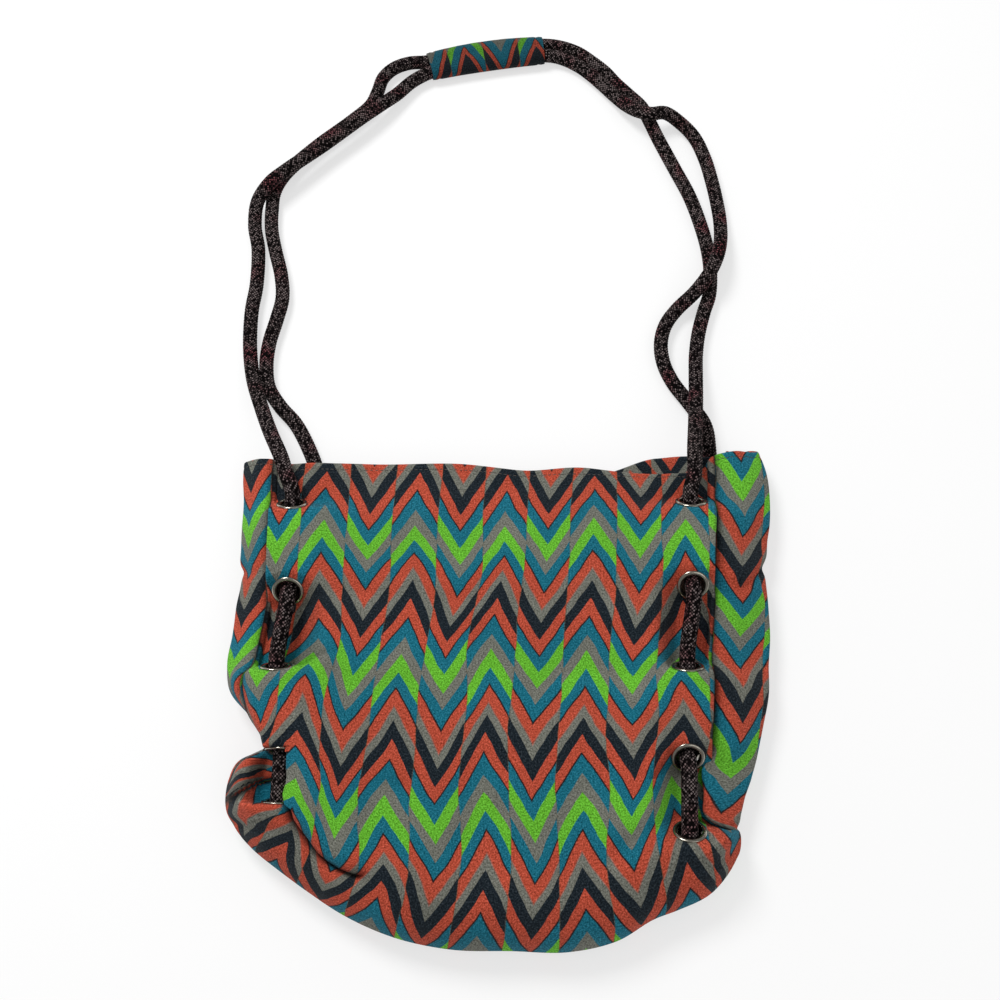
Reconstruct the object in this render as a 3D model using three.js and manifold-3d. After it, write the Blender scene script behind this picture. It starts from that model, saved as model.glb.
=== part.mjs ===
// A canvas crossbody bag lying on its back, mouth towards +Y, front panel up.
// Two panels and two side gussets make an open bag. A rope is laced in and out
// of four columns of eyelets, and its two strands run up as the shoulder strap,
// held together by a cloth sleeve. Millimetres, +Z up, the bag rests on z = 0.
import * as THREE from "three";
import { mergeVertices } from "three/addons/utils/BufferGeometryUtils.js";
import Module from "manifold-3d";

const wasm = await Module();
wasm.setup();

// Cloth
const clothThickness = 1.6;
const hemPly = 1.2; // the hem's turned-in layer, on the inside
const frontHemDepth = 14;
const backHemDepth = 16;
const seamGap = 0.4; // between two sewn edges
const fitGap = 0.3; // between pieces that touch

// Rope and eyelets
const ropeDiameter = 10;
const boreSlack = 4.8; // eyelet bore over the rope
const eyeletWall = 0.8;
const rimWidth = 3.1; // flange beyond the bore
const flangeHeight = 1.2;
const washerHeight = 0.8;
const lipHeight = 0.7;
const lipReach = 1.0; // clinched lip beyond the barrel
const washerInset = 0.3; // washer's edge inside the flange's edge
const patchMargin = 2.4; // flat cloth around a flange
const seamMargin = 3; // from that flat cloth to the seam
const ropeReach = 9; // straight rope on each side of an eyelet
const ropeLean = 27; // degrees between the rope and an eyelet's axis
const leastSlope = 4; // degrees, the rope's least slope in an eyelet

// Heights of the eyelet columns and of the seams
const frontLevel = 35;
const backLevel = 10.8;
const frontHemLevel = 26;
const backHemLevel = 13; // at the eyelet columns, over the strap rope
const equatorLevel = 16; // widest line of the bag's edge
const waveCrest = 0.8; // cloth between two eyelets beyond their flat patches
const seamTilt = 30; // degrees that a seam's edge leans outwards
const frontSeamLevel = 31;
const frontCrestLevel = 37; // swollen cloth beside the seam
const backSeamLevel = 4;

// Columns of eyelets, from the hem down
const frontCentre = -11;
const backCentre = 8;
const columnSpan = 266; // from the left column to the right one
const eyeletSides = 12;
const ropeSides = 8;

// Sleeve on the strap
const sleeveCloth = 1.3;
const sleeveSlack = 0.6;
const strandGap = 0.5;

const clothMaterial = new THREE.MeshStandardMaterial({ color: 0x0b7a97, roughness: 0.9, metalness: 0 });
const gussetMaterial = new THREE.MeshStandardMaterial({ color: 0xd9512f, roughness: 0.9, metalness: 0 });
const metalMaterial = new THREE.MeshStandardMaterial({ color: 0xb9b9b4, roughness: 0.25, metalness: 1 });
const ropeMaterial = new THREE.MeshStandardMaterial({ color: 0x1c1516, roughness: 0.8, metalness: 0 });

const ropeRadius = ropeDiameter / 2;
const boreRadius = (ropeDiameter + boreSlack) / 2;
const barrelRadius = boreRadius + eyeletWall;
const flangeRadius = boreRadius + rimWidth;
const patchHalf = flangeRadius + patchMargin;
const seamReach = patchHalf + seamMargin;
const clothHalf = clothThickness / 2;

const part = new THREE.Group();
const point = (x, y, z) => new THREE.Vector3(x, y, z);
const radians = (degrees) => (degrees * Math.PI) / 180;
const blend = (a, b, share) => a + (b - a) * share;

function addMesh(name, geometry, material) {
  const mesh = new THREE.Mesh(geometry, material);
  mesh.name = name;
  part.add(mesh);
  return mesh;
}

// Each eyelet, from the hem down: y and sideways drift of its centre, and how far its
// axis leans along Y. Odd eyelets lean up towards the mouth and even ones down, because
// the rope runs outside above the odd ones and outside below the even ones.
const frontLeftY = [114.5, 55, 3, -47.5, -81.5];
const frontLeftDrift = [0.8, 1.9, -2.4, 4.5, 4.4];
const frontLeftLean = [50, 46, 62, 92, 74];
const frontRightY = [116, 59, 3, -53, -99];
const frontRightDrift = [1.9, -0.1, -6.4, -9.6, -10.9];
const frontRightLean = [50, 44, 58, 44, 44];
const backLeftY = [115, 58, 2, -49, -88];
const backLeftDrift = [0, 0, 2, 5, 9];
const backRightY = [116, 59, 3, -52, -97];
const backRightDrift = [0, -1, -5, -12, -22];
const backLean = [45, 45, 45, 37, 37];

// One column: where each eyelet sits, which way it faces and how the rope passes.
function makeColumn(name, heights, drifts, leans, place) {
  const { centre, side, outward, level } = place;
  return heights.map((y, index) => {
    const away = index % 2 === 0 ? 1 : -1;
    const lean = radians(leans[index]);
    const slope = radians(Math.max(leastSlope, 90 - leans[index] - ropeLean));
    return {
      name: `${name}_${index + 1}`,
      away,
      centre: point(centre + (side * columnSpan) / 2 + drifts[index], y, level),
      axis: point(0, away * Math.sin(lean), outward * Math.cos(lean)),
      along: point(0, Math.cos(lean), -outward * away * Math.sin(lean)),
      rope: point(0, away * Math.cos(slope), outward * Math.sin(slope)), // from inside to outside
    };
  });
}
const frontPlace = { centre: frontCentre, outward: 1, level: frontLevel };
const backPlace = { centre: backCentre, outward: -1, level: backLevel };
const leftFront = { ...frontPlace, side: -1 };
const rightFront = { ...frontPlace, side: 1 };
const leftBack = { ...backPlace, side: -1 };
const rightBack = { ...backPlace, side: 1 };
const frontLeft = makeColumn("front_left", frontLeftY, frontLeftDrift, frontLeftLean, leftFront);
const frontRight = makeColumn("front_right", frontRightY, frontRightDrift, frontRightLean, rightFront);
const backLeft = makeColumn("back_left", backLeftY, backLeftDrift, backLean, leftBack);
const backRight = makeColumn("back_right", backRightY, backRightDrift, backLean, rightBack);

// The line of cloth down a column: hem, then two rows for each eyelet's flat patch
// with one row between patches.
function columnLine(column, hemY, hemDepth, hemZ) {
  const line = [
    { y: hemY, z: hemZ },
    { y: hemY - hemDepth, z: hemZ },
    { y: hemY - hemDepth - seamGap, z: hemZ },
  ];
  column.forEach((eyelet, index) => {
    const upper = eyelet.centre.clone().addScaledVector(eyelet.along, patchHalf);
    const lower = eyelet.centre.clone().addScaledVector(eyelet.along, -patchHalf);
    if (index > 0) {
      const above = line[line.length - 1];
      const swell = above.z > eyelet.centre.z ? waveCrest : -waveCrest;
      line.push({ y: (above.y + upper.y) / 2, z: (above.z + upper.z) / 2 + swell, x: (above.x + upper.x) / 2 });
    }
    line.push({ y: upper.y, z: upper.z, x: upper.x, eyelet });
    line.push({ y: lower.y, z: lower.z, x: lower.x, eyelet });
  });
  line.slice(0, 3).forEach((row) => {
    row.x = line[3].x;
  });
  return line;
}

// The bag's widest line round the bottom, where the two panels meet, left to right.
const bottomEdge = [
  [-165, -98], [-154, -108], [-141, -117.5], [-118, -133], [-89, -149.5], [-58, -160],
  [-30, -164.5], [0, -165], [30, -165], [55, -165.5], [80, -150.5], [103, -142], [124, -132.5], [137, -120],
];
// The same line up the left corner, from the end of the left gusset, and up the right one.
const leftCorner = [[-157, -46], [-172, -55], [-177, -70], [-174, -84], [-169, -92]];
const rightCorner = [[144.5, -97], [143.5, -108]];
// How far each gusset reaches out beyond half the columns' span, row by row from the hem.
const leftBulge = [48.6, 48.8, 48.8, 48.7, 48.2, 46.8, 43, 46, 47.5, 48.3, 46, 31, 20];
const rightBulge = [43, 47, 47, 48, 47, 44, 40.5, 41, 40.5, 38.5, 36.5, 32, 28, 23, 17.5, 14];
const gussetEnd = 0.9; // the gusset's pointed end stops short of the corner
// How far the front panel's left seam strays sideways, row by row from the hem.
const leftSeamDrift = [0, 0, 0, 0, 0, 0.5, 1.4, 2.2, 2.2, 1.5, -4.7, -3.7, 2.2];
// How far each hem strays from a straight line, from its left seam to its right one.
const frontHemWave = [1, 1, 0, 0, -0.9, -0.1, 0.7, -2.9, -0.4, -3.9, -3.8, 2, 6.5, 9];
const backHemWave = [0, 0, 0, 0, -1.7, -3.9, -6.8, -9, -6, 3.7, 0, 2.7, 5.5, 6];
const hemRows = 3; // rows of a panel that move with its hem

// Height of the middle of the front panel, row by row from the hem to the lowest eyelet.
const frontMiddle = [26, 27, 27, 31, 33, 36, 37, 38, 39, 40, 40, 40, 40, 41, 41, 42, 42];
// How far the rows hang below the line from column to column in the panel's middle.
const rowSag = [0, 0, 0, -3, -3, -4, -6, -8, -11, -15, -18, -21, -24, -28, -32, -37, -42];
const middleShares = [0.09, 0.24, 0.41, 0.59, 0.76, 0.91];
const frontWave = [0.5, 0.15, 0.03, 0.03, 0.15, 0.5];
const backWave = [0.12, 0, 0, 0, 0, 0.12];
const edgeInset = [26, 12, 3.5, 0]; // last rows, inwards from the widest line
const frontEdgeRise = [26, 20, 10, 0]; // and above it
const cornerShare = [0.3, 0.45, 0.75]; // of that inset at the ends of the rows

// Height over the widest line at a distance inwards from it.
function riseAt(reach, rises) {
  const step = Math.max(1, edgeInset.findIndex((inset) => inset <= reach));
  const share = (reach - edgeInset[step]) / (edgeInset[step - 1] - edgeInset[step]);
  return blend(rises[step], rises[step - 1], share);
}

// Seam points of a panel beside a column, on the side away from the middle.
function seamPoint(row, side, share, level, drift) {
  return point(row.x + side * seamReach + drift, row.y, blend(level, row.z, share));
}

const cornerPoint = (place, lift) => point(place[0], place[1], equatorLevel + lift);

// Way that the cloth's edge faces along a seam, outwards from the bag.
const seamNormal = (side, outward) => point(
  side * Math.sin(radians(seamTilt)),
  0,
  outward * Math.cos(radians(seamTilt)),
);

// Rows of a panel. Each row: left edge, left crest, left patch pair, middle points,
// right patch pair, right crest, right edge.
function panelRows(left, right, options) {
  const rows = [];
  const last = left.length - 1;
  left.forEach((leftRow, index) => {
    const rightRow = right[index];
    const row = [];
    const up = (normal) => normal && normal.clone().multiplyScalar(options.outward);
    const inLeftCorner = index > last - leftCorner.length + 1;
    const inLeftBulge = index > last - leftCorner.length + 2;
    const leftEdge = inLeftCorner
      ? cornerPoint(leftCorner[index - last + leftCorner.length - 2], options.seamLift)
      : seamPoint(leftRow, -1, options.seamShare, options.seamLevel, options.leftDrift[index]);
    const rightEdge = index === last
      ? cornerPoint(rightCorner[0], options.seamLift)
      : seamPoint(rightRow, 1, options.seamShare, options.seamLevel, 0);
    const leftPair = [-patchHalf, patchHalf].map((reach) => point(leftRow.x + reach, leftRow.y, leftRow.z));
    const rightPair = [-patchHalf, patchHalf].map((reach) => point(rightRow.x + reach, rightRow.y, rightRow.z));
    const crest = (edge, patch, bulging) => {
      const middle = edge.clone().lerp(patch, 0.5);
      if (bulging) middle.z = options.crestLevel;
      return middle;
    };
    row.push({ at: leftEdge, normal: up(inLeftCorner ? point(-1, 0, 0) : seamNormal(-1, options.outward)) });
    row.push({ at: crest(leftEdge, leftPair[0], inLeftBulge) });
    leftPair.forEach((at) => row.push({ at, normal: up(leftRow.eyelet && leftRow.eyelet.axis) }));
    middleShares.forEach((share, step) => {
      const wave = blend(leftRow.z, rightRow.z, share);
      row.push({
        at: point(
          blend(leftPair[1].x, rightPair[0].x, share),
          blend(leftRow.y, rightRow.y, share) + options.sag[index] * 4 * share * (1 - share),
          blend(options.middle[index], wave, options.wave[step]),
        ),
      });
    });
    rightPair.forEach((at) => row.push({ at, normal: up(rightRow.eyelet && rightRow.eyelet.axis) }));
    row.push({ at: crest(rightEdge, rightPair[1], index === last) });
    row.push({ at: rightEdge, normal: up(index === last ? point(1, 0, 0) : seamNormal(1, options.outward)) });
    if (index < hemRows) row.forEach((cell, column) => { cell.at.y += options.hemWave[column]; });
    rows.push(row);
  });
  edgeInset.forEach((inset, step) => {
    const row = bottomEdge.map((place, index) => {
      const share = cornerShare[index] || cornerShare[bottomEdge.length - 1 - index] || 1;
      const reach = inset * share;
      const rise = riseAt(reach, options.edgeRise);
      const before = bottomEdge[Math.max(0, index - 1)];
      const after = bottomEdge[Math.min(bottomEdge.length - 1, index + 1)];
      const inward = point(before[1] - after[1], after[0] - before[0], 0).normalize();
      const isEdge = inset === 0;
      const at = cornerPoint(place, isEdge ? options.seamLift : rise).addScaledVector(inward, reach);
      return isEdge ? { at, normal: inward.multiplyScalar(-options.outward) } : { at };
    });
    const corner = Math.min(1, step / (edgeInset.length - 1));
    row[0].normal = point(-options.outward, 0, 0);
    row[0].at = point(
      blend(leftCorner[4][0], bottomEdge[0][0], corner),
      blend(leftCorner[4][1], bottomEdge[0][1], corner),
      equatorLevel + options.seamLift,
    );
    const end = row.length - 1;
    row[end].normal = point(options.outward, 0, 0);
    row[end].at = point(
      blend(rightCorner[1][0], bottomEdge[end][0], corner),
      blend(rightCorner[1][1], bottomEdge[end][1], corner),
      equatorLevel + options.seamLift,
    );
    rows.push(row);
  });
  return rows;
}

// Closed sheet of cloth round a grid of points: outer and inner faces and the edges.
function sheetGeometry(rows, hemRows, innerSign) {
  const rowCount = rows.length;
  const columnCount = rows[0].length;
  const positions = [];
  const indices = [];
  const normalAt = (i, j) => {
    const cell = rows[i][j];
    if (cell.normal) return cell.normal.clone();
    const down = rows[Math.min(i + 1, rowCount - 1)][j].at.clone().sub(rows[Math.max(i - 1, 0)][j].at);
    const across = rows[i][Math.min(j + 1, columnCount - 1)].at.clone().sub(rows[i][Math.max(j - 1, 0)].at);
    return down.cross(across).normalize();
  };
  [1, -1].forEach((side) => {
    rows.forEach((row, i) => {
      row.forEach((cell, j) => {
        const normal = normalAt(i, j);
        const ply = i < hemRows && side === innerSign ? hemPly : 0;
        const at = cell.at.clone().addScaledVector(normal, side * (clothHalf + ply));
        positions.push(at.x, at.y, at.z);
      });
    });
  });
  const id = (side, i, j) => side * rowCount * columnCount + i * columnCount + j;
  const quad = (a, b, c, d) => indices.push(a, b, c, a, c, d);
  for (let i = 0; i < rowCount - 1; i++) {
    for (let j = 0; j < columnCount - 1; j++) {
      quad(id(0, i, j), id(0, i + 1, j), id(0, i + 1, j + 1), id(0, i, j + 1));
      quad(id(1, i, j), id(1, i, j + 1), id(1, i + 1, j + 1), id(1, i + 1, j));
    }
    quad(id(0, i, 0), id(1, i, 0), id(1, i + 1, 0), id(0, i + 1, 0));
    const end = columnCount - 1;
    quad(id(0, i, end), id(0, i + 1, end), id(1, i + 1, end), id(1, i, end));
  }
  for (let j = 0; j < columnCount - 1; j++) {
    quad(id(0, 0, j), id(0, 0, j + 1), id(1, 0, j + 1), id(1, 0, j));
    const end = rowCount - 1;
    quad(id(0, end, j), id(1, end, j), id(1, end, j + 1), id(0, end, j + 1));
  }
  const geometry = new THREE.BufferGeometry();
  geometry.setAttribute("position", new THREE.Float32BufferAttribute(positions, 3));
  geometry.setIndex(indices);
  return geometry;
}

function solidOf(geometry) {
  const bare = geometry.clone();
  bare.deleteAttribute("normal");
  bare.deleteAttribute("uv");
  const merged = mergeVertices(bare, 1e-4);
  return new wasm.Manifold(
    new wasm.Mesh({
      numProp: 3,
      vertProperties: new Float32Array(merged.attributes.position.array),
      triVerts: new Uint32Array(merged.index.array),
    }),
  );
}

function geometryOf(solid) {
  const mesh = solid.getMesh();
  const geometry = new THREE.BufferGeometry();
  geometry.setAttribute("position", new THREE.Float32BufferAttribute(mesh.vertProperties, 3));
  geometry.setIndex(new THREE.BufferAttribute(mesh.triVerts, 1));
  return geometry;
}

// A piece turned on its own axis, set on an eyelet's centre and facing its way.
function placeOnEyelet(geometry, eyelet) {
  const turn = new THREE.Quaternion().setFromUnitVectors(point(0, 1, 0), eyelet.axis);
  return geometry.applyQuaternion(turn).translate(eyelet.centre.x, eyelet.centre.y, eyelet.centre.z);
}

const lathe = (profile) => new THREE.LatheGeometry(
  profile.concat([profile[0]]).map(([radius, height]) => new THREE.Vector2(radius, height)),
  eyeletSides,
);

// Panel with a hole for every eyelet's barrel.
function cutPanel(rows, hemRows, innerSign, columns) {
  let solid = solidOf(sheetGeometry(rows, hemRows, innerSign));
  const holeRadius = barrelRadius + fitGap;
  columns.flat().forEach((eyelet) => {
    const drill = new THREE.CylinderGeometry(holeRadius, holeRadius, 4 * clothThickness, eyeletSides);
    solid = solid.subtract(solidOf(placeOnEyelet(drill, eyelet)));
  });
  return geometryOf(solid);
}

// Front panel
const frontHemY = 150;
const frontHemFall = 5; // the hem is lower on the right
const frontLeftLine = columnLine(frontLeft, frontHemY, frontHemDepth, frontHemLevel);
const frontRightLine = columnLine(frontRight, frontHemY - frontHemFall, frontHemDepth, frontHemLevel);
const frontRows = panelRows(frontLeftLine, frontRightLine, {
  outward: 1,
  seamLift: seamGap / 2,
  seamShare: 0.35,
  seamLevel: frontSeamLevel,
  crestLevel: frontCrestLevel,
  sag: rowSag,
  leftDrift: leftSeamDrift,
  hemWave: frontHemWave,
  middle: frontMiddle,
  wave: frontWave,
  edgeRise: frontEdgeRise,
});
addMesh("front_panel", cutPanel(frontRows, 2, -1, [frontLeft, frontRight]), clothMaterial);

// Back panel, flat on the ground in its middle
const backHemY = 160;
const backHemFall = 8; // the hem is lower on the left
const backLeftLine = columnLine(backLeft, backHemY - backHemFall, backHemDepth, backHemLevel);
const backRightLine = columnLine(backRight, backHemY, backHemDepth, backHemLevel);
const backRows = panelRows(backLeftLine, backRightLine, {
  outward: -1,
  seamLift: -seamGap / 2,
  seamShare: 0.3,
  seamLevel: backSeamLevel,
  crestLevel: backSeamLevel,
  sag: rowSag,
  leftDrift: leftSeamDrift.map(() => 0),
  hemWave: backHemWave,
  middle: backLeftLine.map(() => clothHalf),
  wave: backWave,
  edgeRise: [clothHalf - equatorLevel, clothHalf - equatorLevel, backSeamLevel - equatorLevel, 0],
});
addMesh("back_panel", cutPanel(backRows, 2, 1, [backLeft, backRight]), clothMaterial);

// Side gussets, from the front seam round the outside to the back seam
function gussetRows(side, bulge) {
  const rowCount = bulge.length;
  const pick = (rows, index) => {
    const row = rows[index];
    return (side < 0 ? row[0] : row[row.length - 1]).at;
  };
  const rows = [];
  for (let index = 0; index < rowCount; index++) {
    const isLast = index === rowCount - 1;
    const from = Math.max(0, index - 1);
    const front = isLast ? pick(frontRows, from).clone().lerp(pick(frontRows, index), gussetEnd) : pick(frontRows, index);
    const back = isLast ? pick(backRows, from).clone().lerp(pick(backRows, index), gussetEnd) : pick(backRows, index);
    const outer = side * (columnSpan / 2 + bulge[index]);
    const edge = side * seamGap;
    const across = (share, lift, drop) => point(
      blend(lift ? front.x : back.x, outer, share),
      blend(front.y, back.y, drop),
      blend(lift ? front.z : back.z, equatorLevel, share * share),
    );
    rows.push([
      { at: point(front.x + edge, front.y, front.z), normal: seamNormal(side, 1).multiplyScalar(side) },
      { at: across(0.45, true, 0.2) },
      { at: across(0.85, true, 0.35) },
      { at: point(outer, (front.y + back.y) / 2, equatorLevel) },
      { at: across(0.8, false, 0.7) },
      { at: across(0.35, false, 0.85) },
      { at: point(back.x + edge, back.y, back.z), normal: seamNormal(side, -1).multiplyScalar(side) },
    ]);
  }
  return rows;
}
addMesh("left_gusset", sheetGeometry(gussetRows(-1, leftBulge), 2, 1), gussetMaterial);
addMesh("right_gusset", sheetGeometry(gussetRows(1, rightBulge), 2, -1), gussetMaterial);

// Eyelets: a flanged barrel through the cloth, clinched over a washer inside
const flangeFoot = clothHalf + fitGap;
const washerTop = -clothHalf - fitGap;
const washerFoot = washerTop - washerHeight;
const lipTop = washerFoot - fitGap;
const lipRadius = barrelRadius + lipReach;
const eyeletProfile = [
  [boreRadius + eyeletWall / 2, lipTop - lipHeight],
  [lipRadius, lipTop - lipHeight],
  [lipRadius, lipTop],
  [barrelRadius, lipTop],
  [barrelRadius, flangeFoot],
  [flangeRadius, flangeFoot],
  [flangeRadius - rimWidth / 5, flangeFoot + flangeHeight],
  [boreRadius + eyeletWall, flangeFoot + flangeHeight],
  [boreRadius, flangeFoot],
];
const washerProfile = [
  [barrelRadius + fitGap, washerFoot],
  [flangeRadius - washerInset, washerFoot],
  [flangeRadius - washerInset, washerTop],
  [barrelRadius + fitGap, washerTop],
];
[frontLeft, frontRight, backLeft, backRight].flat().forEach((eyelet) => {
  addMesh(`eyelet_${eyelet.name}`, placeOnEyelet(lathe(eyeletProfile), eyelet), metalMaterial);
  addMesh(`washer_${eyelet.name}`, placeOnEyelet(lathe(washerProfile), eyelet), metalMaterial);
});

// Rope along a curve through points
function ropeGeometry(points, steps) {
  const section = new THREE.Shape();
  for (let side = 0; side < ropeSides; side++) {
    const angle = (side * 2 * Math.PI) / ropeSides;
    const x = ropeRadius * Math.cos(angle);
    const y = ropeRadius * Math.sin(angle);
    if (side === 0) section.moveTo(x, y);
    else section.lineTo(x, y);
  }
  section.closePath();
  const curve = new THREE.CatmullRomCurve3(points, false, "centripetal");
  return new THREE.ExtrudeGeometry(section, { steps, extrudePath: curve });
}

const inEyelet = (eyelet, reach) => eyelet.centre.clone().addScaledVector(eyelet.rope, reach);

// Laced rope: in and out of the front column, round the inside of the corner,
// then out and in up the back column.
const turnReach = [15, 19, 15]; // the turn at the bottom, beyond the lowest eyelets
const laceSteps = 84;
function lacePoints(front, back) {
  const points = [inEyelet(front[0], -fitGap / 2)];
  front.forEach((eyelet, index) => {
    const sign = eyelet.away > 0 ? 1 : -1;
    if (index > 0) points.push(inEyelet(eyelet, sign * ropeReach), eyelet.centre.clone());
    points.push(inEyelet(eyelet, -sign * ropeReach));
  });
  const upper = front[front.length - 1];
  const lower = back[back.length - 1];
  const start = inEyelet(upper, -ropeReach);
  const finish = inEyelet(lower, -ropeReach);
  turnReach.forEach((reach, step) => {
    const share = (step + 1) / (turnReach.length + 1);
    points.push(point(
      blend(start.x, finish.x, share),
      blend(upper.centre.y, lower.centre.y, share) - reach,
      blend(start.z, finish.z, share),
    ));
  });
  [...back].reverse().forEach((eyelet, index) => {
    const sign = eyelet.away > 0 ? 1 : -1;
    points.push(inEyelet(eyelet, -sign * ropeReach));
    if (index < back.length - 1) points.push(eyelet.centre.clone(), inEyelet(eyelet, sign * ropeReach));
  });
  points.push(inEyelet(back[0], -fitGap / 2));
  return points;
}
addMesh("lace_left", ropeGeometry(lacePoints(frontLeft, backLeft), laceSteps), ropeMaterial);
addMesh("lace_right", ropeGeometry(lacePoints(frontRight, backRight), laceSteps), ropeMaterial);

// Sleeve's centre line, and the two strands side by side in it
const sleeveLine = [[-62, 506], [-39, 511.5], [-15, 516], [8, 519.5], [32, 522]];
const sleeveHalfHeight = ropeRadius + sleeveSlack;
const sleeveRest = 0.2; // above the ground
const sleeveLevel = sleeveHalfHeight + sleeveCloth + sleeveRest;
const sleeveHalfWidth = ropeDiameter + strandGap / 2 + sleeveSlack;
const sleeveSteps = 5;
const sleeveCurve = new THREE.CatmullRomCurve3(
  sleeveLine.map(([x, y]) => point(x, y, sleeveLevel)),
  false,
  "centripetal",
);
const strandOffset = (ropeDiameter + strandGap) / 2;
function strandInSleeve(share, side) {
  const at = sleeveCurve.getPointAt(share);
  const tangent = sleeveCurve.getTangentAt(share);
  return point(at.x - tangent.y * side * strandOffset, at.y + tangent.x * side * strandOffset, at.z);
}
const sleeveShares = [0, 0.25, 0.5, 0.75, 1];

// Strap strands. The first runs from the front left eyelet to the back right one,
// the second from the back left eyelet to the front right one.
const firstLeft = [
  [-148, 136, 38], [-153, 150, 35], [-163, 172, 27], [-173, 197, 17], [-182, 223, 9], [-187, 251, 5.3],
  [-188, 281, 5.3], [-186, 304, 5.3], [-187, 335, 5.3], [-191, 356, 6], [-189, 373, 12], [-180, 387, 16.3],
  [-169, 398, 16.5], [-141, 424, 14], [-112, 451, 13.5], [-97, 466, 11], [-86, 478, 8], [-74, 492, 6.5],
];
const firstRight = [
  [44, 516, 6.3], [59, 508, 6], [70, 498, 6], [78, 487, 6], [86, 475, 6.5], [94, 464, 10], [104, 456, 15],
  [114, 452, 16.5], [126, 455, 13.5], [139, 450, 7], [149, 438, 5.3], [156, 418, 5.3], [160, 398, 5.3],
  [163, 376, 5.3], [164, 357, 6.5], [162, 337, 11.5], [157, 319, 16.2], [150, 305, 16.5], [140, 293, 12],
  [127, 282, 6], [118, 269, 5.3], [114, 254, 5.3], [115, 238, 5.3], [121, 222, 5.3], [132, 205, 5.3],
  [142, 188, 5.3], [144, 169, 5.3],
];
const secondLeft = [
  [-131, 155, 5.3], [-140, 175, 5.3], [-150, 189, 5.3], [-162, 203, 5.3], [-171, 218, 5.3], [-174, 236, 5.3],
  [-173, 255, 5.3], [-169, 274, 5.3], [-166, 292, 5.3], [-168, 311, 5.3], [-174, 334, 5.3], [-178, 352, 5.3],
  [-179, 370, 5.3], [-178, 387, 5.3], [-171, 403, 5.3], [-149, 428, 5.3], [-121, 454, 5.3], [-107, 469, 5.3],
  [-102, 482, 5.3], [-98, 496, 5.3], [-90, 505, 5.8], [-78, 510, 6.5],
];
const secondRight = [
  [44, 527, 6.3], [59, 521, 6], [71, 511, 6], [81, 501, 6], [90, 491, 6], [100, 480, 5.5], [109, 467, 5.3],
  [115, 452, 5.3], [120, 438, 5.3], [132, 408, 5.3], [142, 383, 5.3], [149, 357, 5.3], [153, 335, 5.3],
  [154, 315, 5.3], [152, 295, 5.3], [147, 280, 5.3], [142, 262, 5.3], [139, 244, 6], [137, 224, 11],
  [135, 203, 17], [132, 179, 25.5], [129, 157, 34], [127, 136, 38],
];
const strapSteps = 56;
const toPoints = (list) => list.map(([x, y, z]) => point(x, y, z));
function strapPoints(startEyelet, leftList, side, rightList, endEyelet) {
  return [
    inEyelet(startEyelet, fitGap / 2),
    inEyelet(startEyelet, ropeReach),
    ...toPoints(leftList),
    ...sleeveShares.map((share) => strandInSleeve(share, side)),
    ...toPoints(rightList),
    inEyelet(endEyelet, ropeReach),
    inEyelet(endEyelet, fitGap / 2),
  ];
}
const firstStrand = strapPoints(frontLeft[0], firstLeft, -1, firstRight, backRight[0]);
const secondStrand = strapPoints(backLeft[0], secondLeft, 1, secondRight, frontRight[0]);
addMesh("strap_rope_first", ropeGeometry(firstStrand, strapSteps), ropeMaterial);
addMesh("strap_rope_second", ropeGeometry(secondStrand, strapSteps), ropeMaterial);

// Sleeve: a flat oval tube of cloth round both strands
function ovalShape(Kind, halfHeight, halfWidth) {
  const oval = new Kind();
  const straight = halfWidth - halfHeight;
  oval.moveTo(-halfHeight, -straight);
  oval.absarc(0, -straight, halfHeight, Math.PI, 2 * Math.PI, false);
  oval.absarc(0, straight, halfHeight, 0, Math.PI, false);
  oval.closePath();
  return oval;
}
const sleeveShape = ovalShape(THREE.Shape, sleeveHalfHeight + sleeveCloth, sleeveHalfWidth + sleeveCloth);
sleeveShape.holes.push(ovalShape(THREE.Path, sleeveHalfHeight, sleeveHalfWidth));
const sleeveGeometry = new THREE.ExtrudeGeometry(sleeveShape, {
  steps: sleeveSteps,
  curveSegments: 4,
  extrudePath: sleeveCurve,
});
addMesh("strap_sleeve", sleeveGeometry, clothMaterial);

export default part;
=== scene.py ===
import math
import bpy
import numpy as np
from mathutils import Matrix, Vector


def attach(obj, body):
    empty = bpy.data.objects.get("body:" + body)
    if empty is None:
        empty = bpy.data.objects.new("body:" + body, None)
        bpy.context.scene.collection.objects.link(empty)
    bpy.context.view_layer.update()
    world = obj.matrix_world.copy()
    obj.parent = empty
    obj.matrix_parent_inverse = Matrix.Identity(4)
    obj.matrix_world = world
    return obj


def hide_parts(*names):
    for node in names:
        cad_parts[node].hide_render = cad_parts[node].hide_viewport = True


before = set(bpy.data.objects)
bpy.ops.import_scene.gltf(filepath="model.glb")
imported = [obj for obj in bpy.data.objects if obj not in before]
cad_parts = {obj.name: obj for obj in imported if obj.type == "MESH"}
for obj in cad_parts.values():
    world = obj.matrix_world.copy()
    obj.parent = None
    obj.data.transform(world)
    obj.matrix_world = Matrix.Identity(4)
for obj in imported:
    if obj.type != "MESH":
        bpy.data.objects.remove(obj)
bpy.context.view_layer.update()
scene = bpy.context.scene
scene.view_settings.view_transform = "Standard"
mm = 0.001


# small tools for numbers and curves, all in millimetres

def unit(v):
    return v / np.maximum(np.linalg.norm(v, axis=-1, keepdims=True), 1e-9)


def ease(x):
    x = np.clip(x, 0, 1)
    return x * x * (3 - 2 * x)


def hump(x, wide):
    return np.exp(-(x / wide) ** 2)


def runOf(line):  # length up to each point of a polyline
    return np.concatenate([[0], np.cumsum(np.linalg.norm(np.diff(line, axis=0), axis=1))])


def hermite(s, a, leave, b, arrive):
    return ((2 * s**3 - 3 * s**2 + 1) * a + (s**3 - 2 * s**2 + s) * leave
            + (3 * s**2 - 2 * s**3) * b + (s**3 - s**2) * arrive)


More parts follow.
